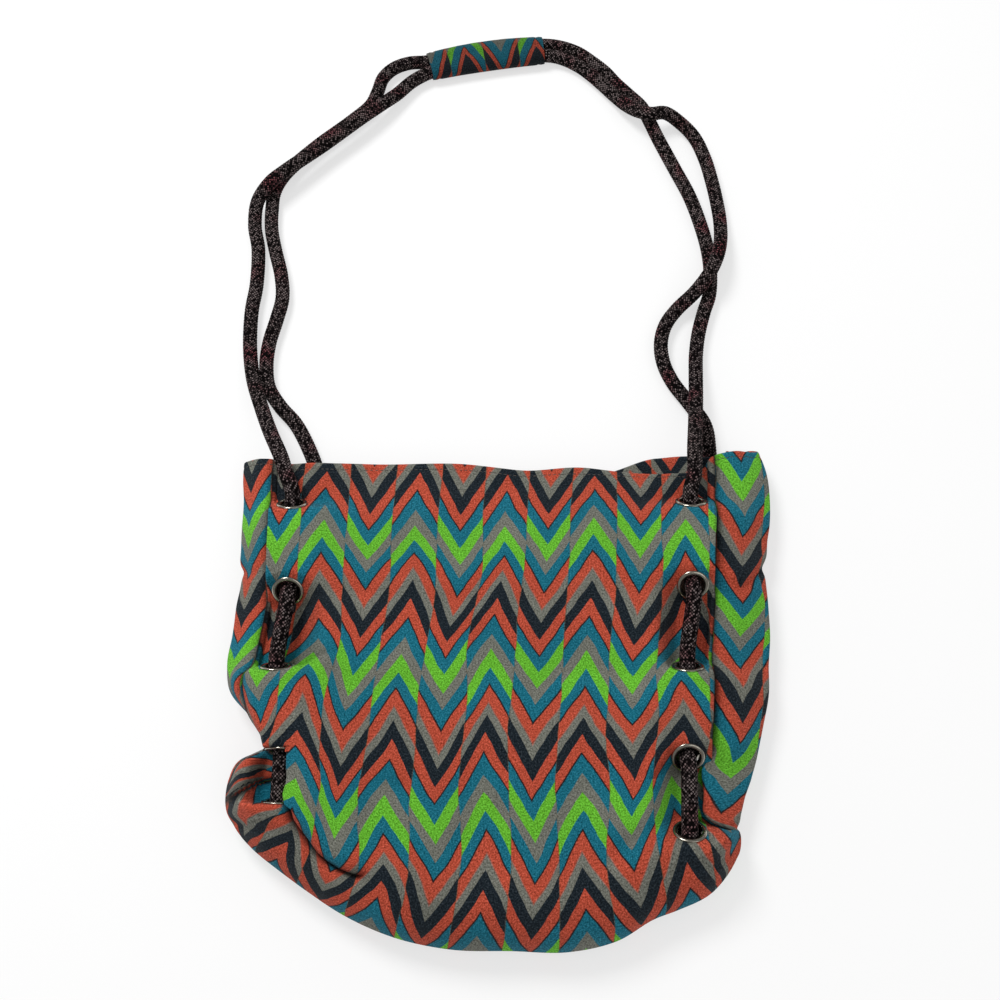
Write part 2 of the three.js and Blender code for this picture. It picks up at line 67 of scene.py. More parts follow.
def spaced(line, step):  # even steps along a polyline
    along = runOf(line)
    at = np.linspace(0, along[-1], max(2, int(round(along[-1] / step)) + 1))
    return np.stack([np.interp(at, along, x) for x in line.T], 1)


def smoothRoute(points, step):  # one smooth curve through the points, as the solids follow it
    p = np.array(points, float)
    p = np.vstack([2 * p[0] - p[1], p, 2 * p[-1] - p[-2]])
    s = np.linspace(0, 1, 24, endpoint=False)[:, None]
    bits = []
    for a, b, c, d in zip(p, p[1:], p[2:], p[3:]):
        t0, t1, t2 = (max(np.linalg.norm(y - x) ** 0.5, 1e-4) for x, y in ((a, b), (b, c), (c, d)))
        leave = ((b - a) / t0 - (c - a) / (t0 + t1) + (c - b) / t1) * t1
        arrive = ((c - b) / t1 - (d - b) / (t1 + t2) + (d - c) / t2) * t1
        bits.append(hermite(s, b, leave, c, arrive))
    return spaced(np.vstack(bits + [p[-2:-1]]), step)


def through(points, knots, at):  # smooth rows through rows of points, each line at its own pace
    p, k = np.asarray(points, float), np.asarray(knots, float)
    h = np.maximum(np.linalg.norm(np.diff(p, axis=0), axis=-1, keepdims=True), 0.3)
    d = np.diff(p, axis=0) / h
    w = h[:-1] / (h[:-1] + h[1:])
    m = np.concatenate([d[:1], d[:-1] * (1 - w) + d[1:] * w, d[-1:]])
    a, b = d[:-1, :, 2], d[1:, :, 2]
    m[1:-1, :, 2] = np.where(a * b > 0, 2 * a * b / np.where(a * b > 0, a + b, 1), 0)  # no higher than the rows
    i = np.clip(np.searchsorted(k, at, side="right") - 1, 0, len(h) - 1)
    s = ((at - k[i]) / np.diff(k)[i])[:, None, None]
    return hermite(s, p[i], h[i] * m[i], p[i + 1], h[i] * m[i + 1])


def awayFrom(places, line):  # signed distance to a polyline in plan, and the share along it
    line = np.array(line, float)
    a, d, run = line[:-1], np.diff(line, axis=0), runOf(line)
    size = np.diff(run)
    rel = places[..., None, :] - a
    near = np.clip((rel * d).sum(-1) / size**2, 0, 1)
    far = np.linalg.norm(rel - near[..., None] * d, axis=-1)
    pick = far.argmin(-1)
    take = lambda x: np.take_along_axis(x, pick[..., None], -1)[..., 0]
    side = np.sign(take(d[:, 0] * rel[..., 1] - d[:, 1] * rel[..., 0]))
    return side * take(far), (run[pick] + take(near) * size[pick]) / run[-1]


def putIn(name, data):
    made = bpy.data.objects.new(name, data)
    scene.collection.objects.link(made)
    return made


def addPiece(name, verts, faces, uv, materials, slots=None, sharp=60, shade=None):
    mesh = bpy.data.meshes.new(name)
    mesh.from_pydata((np.asarray(verts, float) * mm).tolist(), [], faces)
    mesh.uv_layers.new(name="cloth").data.foreach_set("uv", np.asarray(uv, np.float32).ravel())
    if shade is not None:
        mesh.attributes.new("shade", "FLOAT", "POINT").data.foreach_set("value", np.asarray(shade, np.float32))
    for material in materials:
        mesh.materials.append(material)
    if slots is not None:
        mesh.polygons.foreach_set("material_index", np.asarray(slots, np.int32))
    mesh.polygons.foreach_set("use_smooth", np.ones(len(mesh.polygons), bool))
    mesh.set_sharp_from_angle(angle=math.radians(sharp))
    return putIn(name, mesh)


# camera of the photograph, low over the bag's bottom and looking up along it

cameraPlan = {"lens": 45, "sensor": 36, "place": (-4, -193, 813.74), "tilt": 21.8, "clip": (0.01, 50)}


def makeCamera(plan):
    data = bpy.data.cameras.new("camera")
    data.lens, data.sensor_width = plan["lens"], plan["sensor"]
    data.clip_start, data.clip_end = plan["clip"]
    scene.camera = putIn("camera", data)
    scene.camera.location = [x * mm for x in plan["place"]]
    scene.camera.rotation_euler = (math.radians(plan["tilt"]), 0, 0)


makeCamera(cameraPlan)
print("camera set")


# eyelets: y, sideways drift and lean of each, from the hem down

eyeletPlan = {
    "span": 266, "ropeLean": 27, "leastSlope": 4,
    "bore": 7.4, "rim": 3.1, "crown": 0.95, "wall": 0.8, "cloth": 0.8, "washer": 0.8, "sides": 44,
    "flangeLift": 0.55, "barrelDeep": 1.3, "barrelShift": -0.4, "plateDeep": 0.85, "plateOut": 0.56, "plateHalf": 0.4,
    "lipOut": 1.1, "lipTall": 0.6,
    "frontLeft": {"side": -1, "out": 1, "centre": -11, "level": 35, "y": [114.5, 55, 3, -47.5, -81.5],
                  "drift": [0.8, 1.9, -2.4, 4.5, 4.4], "lean": [50, 46, 62, 92, 74]},
    "frontRight": {"side": 1, "out": 1, "centre": -11, "level": 35, "y": [116, 59, 3, -53, -99],
                   "drift": [1.9, -0.1, -6.4, -9.6, -10.9], "lean": [50, 44, 58, 44, 44]},
    "backLeft": {"side": -1, "out": -1, "centre": 8, "level": 10.8, "y": [115, 58, 2, -49, -88],
                 "drift": [0, 0, 2, 5, 9], "lean": [45, 45, 45, 37, 37]},
    "backRight": {"side": 1, "out": -1, "centre": 8, "level": 10.8, "y": [116, 59, 3, -52, -97],
                  "drift": [0, -1, -5, -12, -22], "lean": [45, 45, 45, 37, 37]},
}


def eyeletColumn(plan):
    column = []
    for step, (y, drift, lean) in enumerate(zip(plan["y"], plan["drift"], plan["lean"])):
        away = 1 if step % 2 == 0 else -1
        tilt = math.radians(lean)
        slope = math.radians(max(eyeletPlan["leastSlope"], 90 - lean - eyeletPlan["ropeLean"]))
        column.append({
            "away": away,
            "at": np.array([plan["centre"] + plan["side"] * eyeletPlan["span"] / 2 + drift, y, plan["level"]]),
            "axis": np.array([0, away * math.sin(tilt), plan["out"] * math.cos(tilt)]),
            "down": np.array([0, math.cos(tilt), -plan["out"] * away * math.sin(tilt)]),
            "rope": np.array([0, away * math.cos(slope), plan["out"] * math.sin(slope)]),
        })
    return column


columns = {name: eyeletColumn(eyeletPlan[name]) for name in ("frontLeft", "frontRight", "backLeft", "backRight")}
inEyelet = lambda eyelet, reach: eyelet["at"] + eyelet["rope"] * reach


# nodes: wires that can be reckoned with, and nodes fed by the name or number of their inputs

class Wire:
    def __init__(self, node, output=0):
        self.node, self.tree = node, node.id_data
        self.socket = node.outputs[output]

    def __getitem__(self, output):  # another output of the same node
        return Wire(self.node, output)

    def __add__(self, other):
        return reckon("ADD", self, other)

    def __sub__(self, other):
        return reckon("SUBTRACT", self, other)

    def __rsub__(self, other):
        return reckon("SUBTRACT", other, self)

    def __mul__(self, other):
        return reckon("MULTIPLY", self, other)

    def __truediv__(self, other):
        return reckon("DIVIDE", self, other)


def plug(value, socket):  # a number, a colour or another node's output
    if isinstance(value, Wire):
        value.tree.links.new(value.socket, socket)
    else:
        socket.default_value = value


def feed(node, inputs):
    for label, value in inputs.items():
        plug(value, node.inputs[label])


def addNode(tree, kind, inputs=None, **settings):
    node = tree.nodes.new(kind)
    for label, value in settings.items():
        setattr(node, label, value)
    feed(node, inputs or {})
    return Wire(node)


def treeOf(*values):
    return next(x.tree for x in values if isinstance(x, Wire))


def reckon(operation, a, b=0.0):
    return addNode(treeOf(a, b), "ShaderNodeMath", {0: a, 1: b}, operation=operation)


def mixed(share, a, b, mode="MIX"):
    inputs = {0: share, 6: a, 7: b}
    return addNode(treeOf(share, a, b), "ShaderNodeMix", inputs, data_type="RGBA", blend_type=mode)[2]


def noiseAt(place, scale, detail=2.0, rough=0.5):
    inputs = {"Vector": place, "Scale": scale, "Detail": detail, "Roughness": rough}
    return addNode(place.tree, "ShaderNodeTexNoise", inputs)


def ranged(value, low, high, newLow=0.0, newHigh=1.0):
    return addNode(value.tree, "ShaderNodeMapRange", {0: value, 1: low, 2: high, 3: newLow, 4: newHigh})


def split(value, kind="ShaderNodeSeparateXYZ"):
    parts = addNode(value.tree, kind, {0: value})
    return [parts[k] for k in range(3)]


def newGroup(name, inputs, outputs, kind="ShaderNodeTree"):  # its inputs as wires, and the sockets to fill
    group = bpy.data.node_groups.new(name, kind)
    for side, sockets in (("INPUT", inputs), ("OUTPUT", outputs)):
        for label, form in sockets.items():
            group.interface.new_socket(label, in_out=side, socket_type="NodeSocket" + form)
    given, out = group.nodes.new("NodeGroupInput"), group.nodes.new("NodeGroupOutput")
    return group, {label: Wire(given, label) for label in inputs}, out.inputs


def linear(code):  # colour written as the eye sees it
    parts = [int(code[i:i + 2], 16) / 255 for i in (1, 3, 5)]
    return [x / 12.92 if x <= 0.04045 else ((x + 0.055) / 1.055) ** 2.4 for x in parts] + [1]


# shader groups: print, weave and braid give colours and heights only

printPlan = {
    "column": 30.15, "repeat": 88, "slope": 1.54, "wander": 7.0, "wobble": (1.5, 3.3),
    "colours": {"teal": "#006377", "orange": "#af452e", "lime": "#5fae26", "grey": "#6b6c63", "navy": "#08161f"},
    "line": "#140c0e", "lineWidth": 1.9, "edge": {"orange grey": 2.2, "grey orange": 1.6}, "crisp": 0.5,
    "border": "#5a4a30", "borderAt": 0.488, "borderShare": 0.35,
    # top edge of each band at a peak's middle, and lower edge at a valley's middle
    "peakTop": 135.8, "peaks": [("orange", 11.3), ("teal", 12.5), ("grey", 11), ("lime", 12), ("teal", 11),
                                ("orange", 11.5), ("grey", 8), ("navy", 10.7)],
    "valeTop": 63.6, "vales": [("teal", 11.5), ("orange", 11.5), ("grey", 8), ("navy", 11.5), ("orange", 11.3),
                               ("teal", 11.7), ("lime", 12.5), ("grey", 10)],
}
sleevePrintPlan = {
    **printPlan, "column": 29, "slope": 2.2,
    "peaks": [("orange", 8), ("teal", 14), ("grey", 12), ("lime", 12), ("teal", 15), ("orange", 8), ("navy", 19)],
    "vales": [("teal", 16), ("orange", 8), ("navy", 16), ("orange", 8), ("teal", 14), ("lime", 10), ("grey", 16)],
}


def bandRamp(place, plan, bands):
    colours = {name: linear(code) for name, code in plan["colours"].items()}
    line, total = linear(plan["line"]), sum(width for _, width in bands)
    half = plan["lineWidth"] / 2 / total
    stops, at = [(0.0, colours[bands[0][0]])], 0.0
    for (name, width), (after, _) in zip(bands, bands[1:]):
        at += width / total
        soft = plan["edge"].get(f"{name} {after}", plan["crisp"]) / 2 / total
        if {name, after} == {"orange", "teal"}:  # thin dark outline between these two
            stops += [(at - half - soft, colours[name]), (at - half / 2, line),
                      (at + half / 2, line), (at + half + soft, colours[after])]
        else:
            stops += [(at - soft, colours[name]), (at + soft, colours[after])]
    ramp = addNode(place.tree, "ShaderNodeValToRGB", {0: place})
    elements = ramp.node.color_ramp.elements
    elements[0].position, elements[0].color = stops[0]
    elements[1].position, elements[1].color = stops[-1]
    for position, colour in stops[1:-1]:
        elements.new(position).color = colour
    return ramp


def makePrintGroup(name, plan):
    tree, given, out = newGroup(name, {"Cloth": "Vector"}, {"Color": "Color"})
    cloth = given["Cloth"]
    sway = split(noiseAt(cloth, plan["wander"], 1.0)["Color"], "ShaderNodeSeparateColor")
    u, v = (part * 100.0 + (drift - 0.5) * amount
            for part, drift, amount in zip(split(cloth), sway, plan["wobble"]))
    column = u / plan["column"] + 0.5
    aside = reckon("ABSOLUTE", reckon("FRACT", column) - 0.5)
    across = aside * (plan["column"] * plan["slope"])
    odd = reckon("FLOORED_MODULO", reckon("FLOOR", column), 2.0)
    peak = reckon("FRACT", (plan["peakTop"] - (v + across)) / plan["repeat"])
    vale = reckon("FRACT", (plan["valeTop"] - (v - across)) / plan["repeat"])
    colour = mixed(odd, bandRamp(peak, plan, plan["peaks"]), bandRamp(vale, plan, plan["vales"]))
    border = reckon("GREATER_THAN", aside, plan["borderAt"]) * plan["borderShare"]
    plug(mixed(border, colour, linear(plan["border"])), out["Color"])
    return tree


weavePlan = {"yarnScale": 100.0, "yarnRough": 0.7, "fadeScale": 1.6, "detail": 3.0, "between": (0.3, 0.7)}


def makeWeaveGroup(plan):  # plain canvas: threads, heathered yarn and slow fading
    tree, given, out = newGroup("canvasWeave", {"Cloth": "Vector", "Threads": "Float"},
                                {"Height": "Float", "Heather": "Float", "Fade": "Float"})
    cloth, turn = given["Cloth"], given["Threads"] * math.pi
    warp, weft = (reckon("SINE", part * turn) for part in split(cloth)[:2])
    yarn = noiseAt(cloth, plan["yarnScale"], plan["detail"], plan["yarnRough"])
    plug(warp * weft * 0.5 + yarn, out["Height"])
    plug(ranged(yarn, *plan["between"]), out["Heather"])
    plug(ranged(noiseAt(cloth, plan["fadeScale"], plan["detail"]), *plan["between"]), out["Fade"])
    return tree


braidPlan = {"narrow": 2.7, "long": 2.1, "lit": 0.72, "faint": 0.28, "faintMore": 0.3, "fleckEdge": (1.0, 0.45),
             "tintScale": 0.09, "tintBetween": (0.5, 0.68), "round": (1.6, 0.0)}


def makeBraidGroup(plan):  # picks of the braid, some with a pale thread
    tree, given, out = newGroup("ropeBraid", {"Cloth": "Vector", "Pale share": "Float"},
                                {"Fleck": "Float", "Tint": "Float", "Height": "Float"})
    x, y, _ = split(given["Cloth"])
    p, q = x + y, x - y
    cellP, cellQ = reckon("FLOOR", p), reckon("FLOOR", q)
    inP, inQ = p - cellP - 0.5, q - cellQ - 0.5
    over = reckon("FLOORED_MODULO", cellP + cellQ, 2.0)
    pick = lambda a, b: reckon("ABSOLUTE", addNode(tree, "ShaderNodeMix", {0: over, 2: a, 3: b}))
    square = lambda x: reckon("POWER", x, 2.0)
    rounded = square(pick(inP, inQ) * plan["narrow"]) + square(pick(inQ, inP) * plan["long"])
    cell = addNode(tree, "ShaderNodeCombineXYZ", {0: cellP, 1: cellQ})
    dice = addNode(tree, "ShaderNodeTexWhiteNoise", {"Vector": cell}, noise_dimensions="2D")["Value"]
    lit = reckon("LESS_THAN", dice, given["Pale share"])
    faint = reckon("LESS_THAN", dice, given["Pale share"] + plan["faintMore"])
    plug((lit * plan["lit"] + faint * plan["faint"]) * ranged(rounded, *plan["fleckEdge"]), out["Fleck"])
    plug(ranged(noiseAt(given["Cloth"], plan["tintScale"], 1.0), *plan["tintBetween"]), out["Tint"])
    plug(ranged(rounded, *plan["round"]), out["Height"])
    return tree


printGroup = makePrintGroup("zigzagPrint", printPlan)
sleevePrint = makePrintGroup("sleevePrint", sleevePrintPlan)
weaveGroup = makeWeaveGroup(weavePlan)
braidGroup = makeBraidGroup(braidPlan)


# materials: cloth and rope read the piece's own map, metal and thread its place

def newMaterial(name):
    material = bpy.data.materials.new(name)
    material.use_nodes = True
    return material, material.node_tree, material.node_tree.nodes["Principled BSDF"]


def useGroup(tree, group, inputs):
    return addNode(tree, "ShaderNodeGroup", inputs, node_tree=group)


def clothPlace(tree):
    return addNode(tree, "ShaderNodeUVMap", uv_map="cloth")


def objectPlace(tree):
    return addNode(tree, "ShaderNodeTexCoord")["Object"]


def bumped(shader, height, distance, strength):
    inputs = {"Distance": distance * mm, "Strength": strength, "Height": height}
    plug(addNode(shader.id_data, "ShaderNodeBump", inputs), shader.inputs["Normal"])


# groove: colour level kept with no painted shade and with full painted shade
canvasPlan = {"threads": 330.0, "sheen": 0.04, "shine": 0.15, "rough": (0.94, 0.84), "heather": (0.18, 1.78),
              "fade": (0.93, 1.07), "groove": (1.0, 0.07), "fuzz": "#7c8082", "fuzzShare": 0.1, "backing": "#9b958a",
              "bump": (0.22, 0.55)}


def makeCanvas(name, paintedShadeFactor=1.0, reverse=0.0, group=printGroup):
    material, tree, shader = newMaterial(name)
    place, plan = clothPlace(tree), canvasPlan
    colour = useGroup(tree, group, {"Cloth": place})
    weave = useGroup(tree, weaveGroup, {"Cloth": place, "Threads": plan["threads"]})
    if reverse:  # print showing faintly through the back of the cloth
        colour = mixed(reverse, colour, linear(plan["backing"]))
    heather = weave["Heather"]
    colour = mixed(ranged(heather, 0.35, 1.0, 0.0, plan["fuzzShare"]), colour, linear(plan["fuzz"]))
    groove = addNode(tree, "ShaderNodeAttribute", attribute_name="shade")["Fac"]  # painted shade along the seams, down in the folds and along the corner crease
    # paintedShadeFactor scales the colour level: painted shade for a dimmer-lit copy
    level = ranged(heather, 0.0, 1.0, *(x * paintedShadeFactor for x in plan["heather"])) \
        * ranged(weave["Fade"], 0.0, 1.0, *plan["fade"]) * ranged(groove, 0.0, 1.0, *plan["groove"])
    grey = addNode(tree, "ShaderNodeCombineColor", {0: level, 1: level, 2: level})
    feed(shader, {"Base Color": mixed(1.0, colour, grey, "MULTIPLY"), "Specular IOR Level": plan["shine"],
                  "Roughness": ranged(heather, 0.0, 1.0, *plan["rough"]), "Sheen Weight": plan["sheen"]})
    bumped(shader, weave["Height"], *plan["bump"])
    return material


def makeRopeMaterial():
    material, tree, shader = newMaterial("braidedRope")
    place = clothPlace(tree)
    braid = useGroup(tree, braidGroup, {"Cloth": place, "Pale share": 0.4})
    pale = mixed(braid["Tint"], linear("#776b6a"), linear("#7d454b"))
    fuzz = noiseAt(place, 2.4)
    dark = mixed(ranged(fuzz, 0.35, 0.7), linear("#040202"), linear("#0d0809"))
    share = braid["Fleck"] * ranged(fuzz, 0.25, 0.6, 0.55, 0.95)
    feed(shader, {"Base Color": mixed(share, dark, pale), "Roughness": ranged(fuzz, 0.2, 0.8, 0.9, 0.7),
                  "Specular IOR Level": 0.05})
    bumped(shader, braid["Height"] + fuzz * 0.4, 0.35, 0.6)
    return material


def makeNickel():
    material, tree, shader = newMaterial("eyeletNickel")
    scuff = noiseAt(objectPlace(tree), 900.0, 3.0, 0.6)
    feed(shader, {"Base Color": mixed(ranged(scuff, 0.35, 0.75), linear("#b9b4a8"), linear("#948e82")),
                  "Roughness": ranged(scuff, 0.3, 0.7, 0.12, 0.28), "Metallic": 1.0})
    bumped(shader, scuff, 0.05, 0.15)
    return material


def makeThread():
    material, tree, shader = newMaterial("hemThread")
    twist = noiseAt(objectPlace(tree), 2600.0, 1.0)
    feed(shader, {"Base Color": mixed(ranged(twist, 0.35, 0.65), linear("#5d564e"), linear("#3f3a36")),
                  "Roughness": 0.7})
    bumped(shader, twist, 0.1, 0.4)
    return material


printedCanvas = makeCanvas("printedCanvas")
canvasReverse = makeCanvas("canvasReverse", reverse=0.62)
# sleeve at half brightness: painted shade for the dimmer light at the strap
sleeveCanvas = makeCanvas("sleeveCanvas", paintedShadeFactor=0.5, group=sleevePrint)
braidedRope = makeRopeMaterial()
eyeletNickel = makeNickel()
hemThread = makeThread()
print("materials made")


# rope: laced through the eyelets, and two strands of it as the strap

ropePlan = {
    "radius": 5.05, "relief": 0.42, "meanHeight": 0.45, "picks": 14, "sides": 56, "step": 0.62, "start": [0.3, 0.2, 1],
    "reach": 9, "touch": 0.15, "turn": [15, 19, 15],
    "firstLeft": [
        [-148, 136, 38], [-153, 150, 35], [-163, 172, 27], [-173, 197, 17], [-182, 223, 9], [-187, 251, 5.3],
        [-188, 281, 5.3], [-186, 304, 5.3], [-187, 335, 5.3], [-191, 356, 6], [-189, 373, 12], [-180, 387, 16.3],
        [-169, 398, 16.5], [-141, 424, 14], [-112, 451, 13.5], [-97, 466, 11], [-86, 478, 8], [-74, 492, 6.5]],
    "firstRight": [
        [44, 516, 6.3], [59, 508, 6], [70, 498, 6], [79, 488, 6], [88, 477, 6.5], [95.5, 466, 10], [104, 456, 15],
        [114, 452, 16.5], [126, 455, 13.5], [139, 450, 7], [149, 438, 5.3], [156, 418, 5.3], [160, 398, 5.3],
        [163, 376, 5.3], [164, 357, 6.5], [162, 337, 11.5], [157, 319, 16.2], [150, 305, 16.5], [140, 293, 12],
        [127, 282, 6], [118, 269, 5.3], [114, 254, 5.3], [115, 238, 5.3], [121, 222, 5.3], [132, 205, 5.3],
        [142, 188, 5.3], [144, 169, 5.3]],
    "secondLeft": [
        [-133.5, 155, 5.3], [-142, 175, 5.3], [-150, 189, 5.3], [-162, 203, 5.3], [-171, 218, 5.3], [-174, 236, 5.3],
        [-173, 255, 5.3], [-169, 274, 5.3], [-166, 292, 5.3], [-168, 311, 5.3], [-174, 334, 5.3], [-178, 352, 5.3],
        [-179, 370, 5.3], [-178, 387, 5.3], [-171, 403, 5.3], [-149, 428, 5.3], [-121, 454, 5.3], [-107, 469, 5.3],
        [-102, 482, 5.3], [-98, 496, 5.3], [-90, 505, 5.8], [-78, 510, 6.5]],
    "secondRight": [
        [44, 527, 6.3], [59, 521, 6], [71, 511, 6], [81, 501, 6], [89, 490, 6], [98.5, 479.5, 5.5], [109, 467, 5.3],
        [115, 452, 5.3], [120, 438, 5.3], [132, 408, 5.3], [142, 383, 5.3], [149, 357, 5.3], [153, 335, 5.3],
        [154, 315, 5.3], [152, 295, 5.3], [147, 280, 5.3], [142, 262, 5.3], [139, 244, 6], [137, 224, 11],
        [135, 203, 17], [132, 179, 25.5], [129, 157, 34], [127, 136, 38]],
}
sleevePlan = {"line": [[-60.5, 506], [-39, 511.8], [-15, 516.8], [8, 520.3], [31, 522.6]], "level": 7.1, "apart": 5.3,
              "halfWide": 12.3, "fuller": 1.2, "halfHigh": 6.7, "cloth": 1.2, "long": 94, "steps": 72, "around": 96,
              "squareness": 0.82, "printStart": 0.32, "printTop": 66.5, "endPull": (0.35, 2.0), "seamPull": (0.5, 1.2),
              "seamAt": 5, "puffs": ((0.5, 21, 0), (0.4, 47, 1)), "puffHigh": 0.25, "dip": (0.55, 0.16)}
sleeveLine = smoothRoute([[x, y, sleevePlan["level"]] for x, y in sleevePlan["line"]], 0.25)


def sleeveFrame(share):  # middle of the sleeve and the way across it
    at = np.linspace(0, 1, len(sleeveLine))
    pick = lambda f: np.array([np.interp(f, at, x) for x in sleeveLine.T])
    ahead = unit(pick(min(1, share + 0.01)) - pick(max(0, share - 0.01)))
    return pick(share), np.array([-ahead[1], ahead[0], 0])


def strapRoute(start, left, side, right, end):
    touch, reach = ropePlan["touch"], ropePlan["reach"]
    held = [at + across * side * sleevePlan["apart"] for at, across in map(sleeveFrame, (0, 0.25, 0.5, 0.75, 1))]
    return np.vstack([inEyelet(start, touch), inEyelet(start, reach), left, held, right,
                      inEyelet(end, reach), inEyelet(end, touch)])


def laceRoute(front, back):
    touch, reach = ropePlan["touch"], ropePlan["reach"]
    ahead = lambda eyelet, way: inEyelet(eyelet, way * eyelet["away"] * reach)
    route = [inEyelet(front[0], -touch), ahead(front[0], -1)]
    for eyelet in front[1:]:
        route += [ahead(eyelet, 1), eyelet["at"], ahead(eyelet, -1)]
    upper, lower = front[-1], back[-1]
    start, finish = inEyelet(upper, -reach), inEyelet(lower, -reach)
    for share, depth in zip((0.25, 0.5, 0.75), ropePlan["turn"]):  # from the front column to the back one
        bend = start + (finish - start) * share
        bend[1] = upper["at"][1] + (lower["at"][1] - upper["at"][1]) * share - depth
        route.append(bend)
    for eyelet in back[:0:-1]:
        route += [ahead(eyelet, -1), eyelet["at"], ahead(eyelet, 1)]
    return route + [ahead(back[0], -1), inEyelet(back[0], -touch)]


def braidHeight(around, along):
    p, q = around + along, around - along
    inP, inQ = p - np.floor(p) - 0.5, q - np.floor(q) - 0.5
    over = (np.floor(p) + np.floor(q)) % 2 == 0
    across, down = np.where(over, inP, inQ), np.where(over, inQ, inP)
    return (1 - 4 * across**2) * (0.3 + 0.7 * np.cos(np.pi * down))


def tubeFaces(uv):  # faces of a tube and the map at their corners; the map has one column more than the tube
    rings, sides = uv.shape[0], uv.shape[1] - 1
    i, j = np.meshgrid(np.arange(rings - 1), np.arange(sides), indexing="ij")
    corners = [(i, j), (i, j + 1), (i + 1, j + 1), (i + 1, j)]
    faces = np.stack([a * sides + b % sides for a, b in corners], -1).reshape(-1, 4)
    return faces, np.stack([uv[corner] for corner in corners], 2).reshape(-1, 4, 2)


def braidTube(name, route, plan):
    line = smoothRoute(route, plan["step"])
    ahead = unit(np.gradient(line, axis=0))
    side = [unit(np.cross(ahead[0], plan["start"]))]
    for t in ahead[1:]:  # carried along without twisting
        side.append(unit(side[-1] - t * side[-1].dot(t)))
    side = np.array(side)
    n, rings = plan["sides"], len(line)
    angle = (np.arange(n) * 2 * np.pi / n)[:, None]
    pickSize = 2 * np.pi * plan["radius"] / plan["picks"]
    along = np.arange(rings) * np.linalg.norm(line[1] - line[0]) / pickSize
    uv = np.stack(np.broadcast_arrays(np.arange(n + 1) * plan["picks"] / n, along[:, None]), -1)
    height = braidHeight(uv[:, :-1, 0], uv[:, :-1, 1])
    radius = plan["radius"] + plan["relief"] * (height - plan["meanHeight"])
    out = np.cos(angle) * side[:, None] + np.sin(angle) * np.cross(ahead, side)[:, None]
    verts = np.vstack([(line[:, None] + radius[..., None] * out).reshape(-1, 3), line[[0, -1]]])
    faces, loops = tubeFaces(uv)
    ring, base = np.arange(n), n * (rings - 1)
    after, first = (ring + 1) % n, np.full(n, n * rings)
    caps = np.vstack([np.stack([first, after, ring], 1), np.stack([first + 1, base + ring, base + after], 1)])
    loops = np.vstack([loops.reshape(-1, 2), np.zeros((caps.size, 2))])
    return addPiece(name, verts, faces.tolist() + caps.tolist(), loops, [braidedRope], sharp=80), line


def lengthOf(line):
    return round(float(runOf(line)[-1]) * mm, 3)


strandFirst, lineFirst = braidTube("strap_rope_first_braid", strapRoute(
    columns["frontLeft"][0], ropePlan["firstLeft"], -1, ropePlan["firstRight"], columns["backRight"][0]), ropePlan)
strandSecond, lineSecond = braidTube("strap_rope_second_braid", strapRoute(
    columns["backLeft"][0], ropePlan["secondLeft"], 1, ropePlan["secondRight"], columns["frontRight"][0]), ropePlan)
laceLeft, _ = braidTube("lace_left_braid", laceRoute(columns["frontLeft"], columns["backLeft"]), ropePlan)
laceRight, _ = braidTube("lace_right_braid", laceRoute(columns["frontRight"], columns["backRight"]), ropePlan)
print("rope braided", lengthOf(lineFirst), lengthOf(lineSecond))


# cloth panels: the same control rows as the solids, drawn out to fine rows

clothPlan = {
    "half": 0.8, "ply": 1.2, "cell": 1.6, "patch": 12.9, "seam": 15.9, "equator": 16, "crest": 0.8, "hole": 9.0,
    "bottomEdge": [[-165, -98], [-154, -108], [-141, -117.5], [-118, -133], [-89, -149.5], [-58, -160], [-30, -164.5],
                   [0, -165], [30, -165], [55, -165.5], [80, -150.5], [103, -142], [124, -132.5], [137, -120]],
    "leftCorner": [[-157, -46], [-171, -54], [-175.5, -70], [-174, -84], [-169, -92]],
    "rightCorner": [[144.5, -97], [143.5, -108]],
    "sag": [0, 0, -3, -3, -4, -6, -8, -11, -15, -18, -21, -24, -28, -32, -37, -42],
    "shares": [0.09, 0.24, 0.41, 0.59, 0.76, 0.91],
    "inset": [26, 12, 3.5, 0], "cornerShare": [0.3, 0.45, 0.75],
    "leftBulge": [48, 48, 46.8, 46, 45, 43.4, 44.6, 47.2, 48.3, 46, 31, 20, 24.6],
    "rightBulge": [43, 47, 47.5, 46, 41.8, 40, 41, 40.5, 38.5, 36.5, 32, 28, 23, 17.5, 14, 12.2],
    "endHalf": 2.5, "hemRows": 2, "apart": 10, "rolled": 0.4,
    "bottomColumns": [-122, -99, -67, -33, 3, 38, 67, 90],
    "hemSteps": [0, 0.4, 0.9, 1.6, 2.6, 3.8, 4.5, 5.2, 6.4, 8, 10, 12], "hemEnd": [-0.4, 0.3, 1.2],
    "seamSteps": [0.5, 1.1], "seamWide": 2.4, "seamDeep": 1.5, "sewnEnd": 12, "calm": 30,
    "flange": 16.5, "flangeNear": 8, "flangeSoft": 5, "holeNear": 5,
}
frontPlan = {
    "name": "front_panel_cloth", "columns": ("frontLeft", "frontRight"), "hemY": [150, 145], "hemDepth": 14,
    "hemLevel": 26, "seamShare": 0.35, "seamLevel": 31, "crestLevel": 37,
    "middle": [26, 27, 31, 33, 36, 37, 38, 39, 40, 40, 40, 40, 41, 41, 42, 42],
    "wave": [0.5, 0.15, 0.03, 0.03, 0.15, 0.5], "rise": [26, 20, 10, 0],
    "hemWave": [1, 1, 0, 0, -0.9, -0.1, 0.7, -2.9, -0.4, -3.9, -3.8, 2, 6.5, 9],
    "leftDrift": [1.4, 1.4, 1.6, 1.8, 2.2, 2.6, 2.8, 2.4, 1.5, -4.7, -3.7, 2.2],
    "rightDrift": [2.5, 2.5, 1, 0.6, -0.8, -2, -2, -1.2, 0, 0, 0, -0.6, -0.8, 0, 0, 0],
    "waves": 0.55, "seed": 5, "sewnTo": (12, 15), "seamShade": (3.8, 3.2),
}
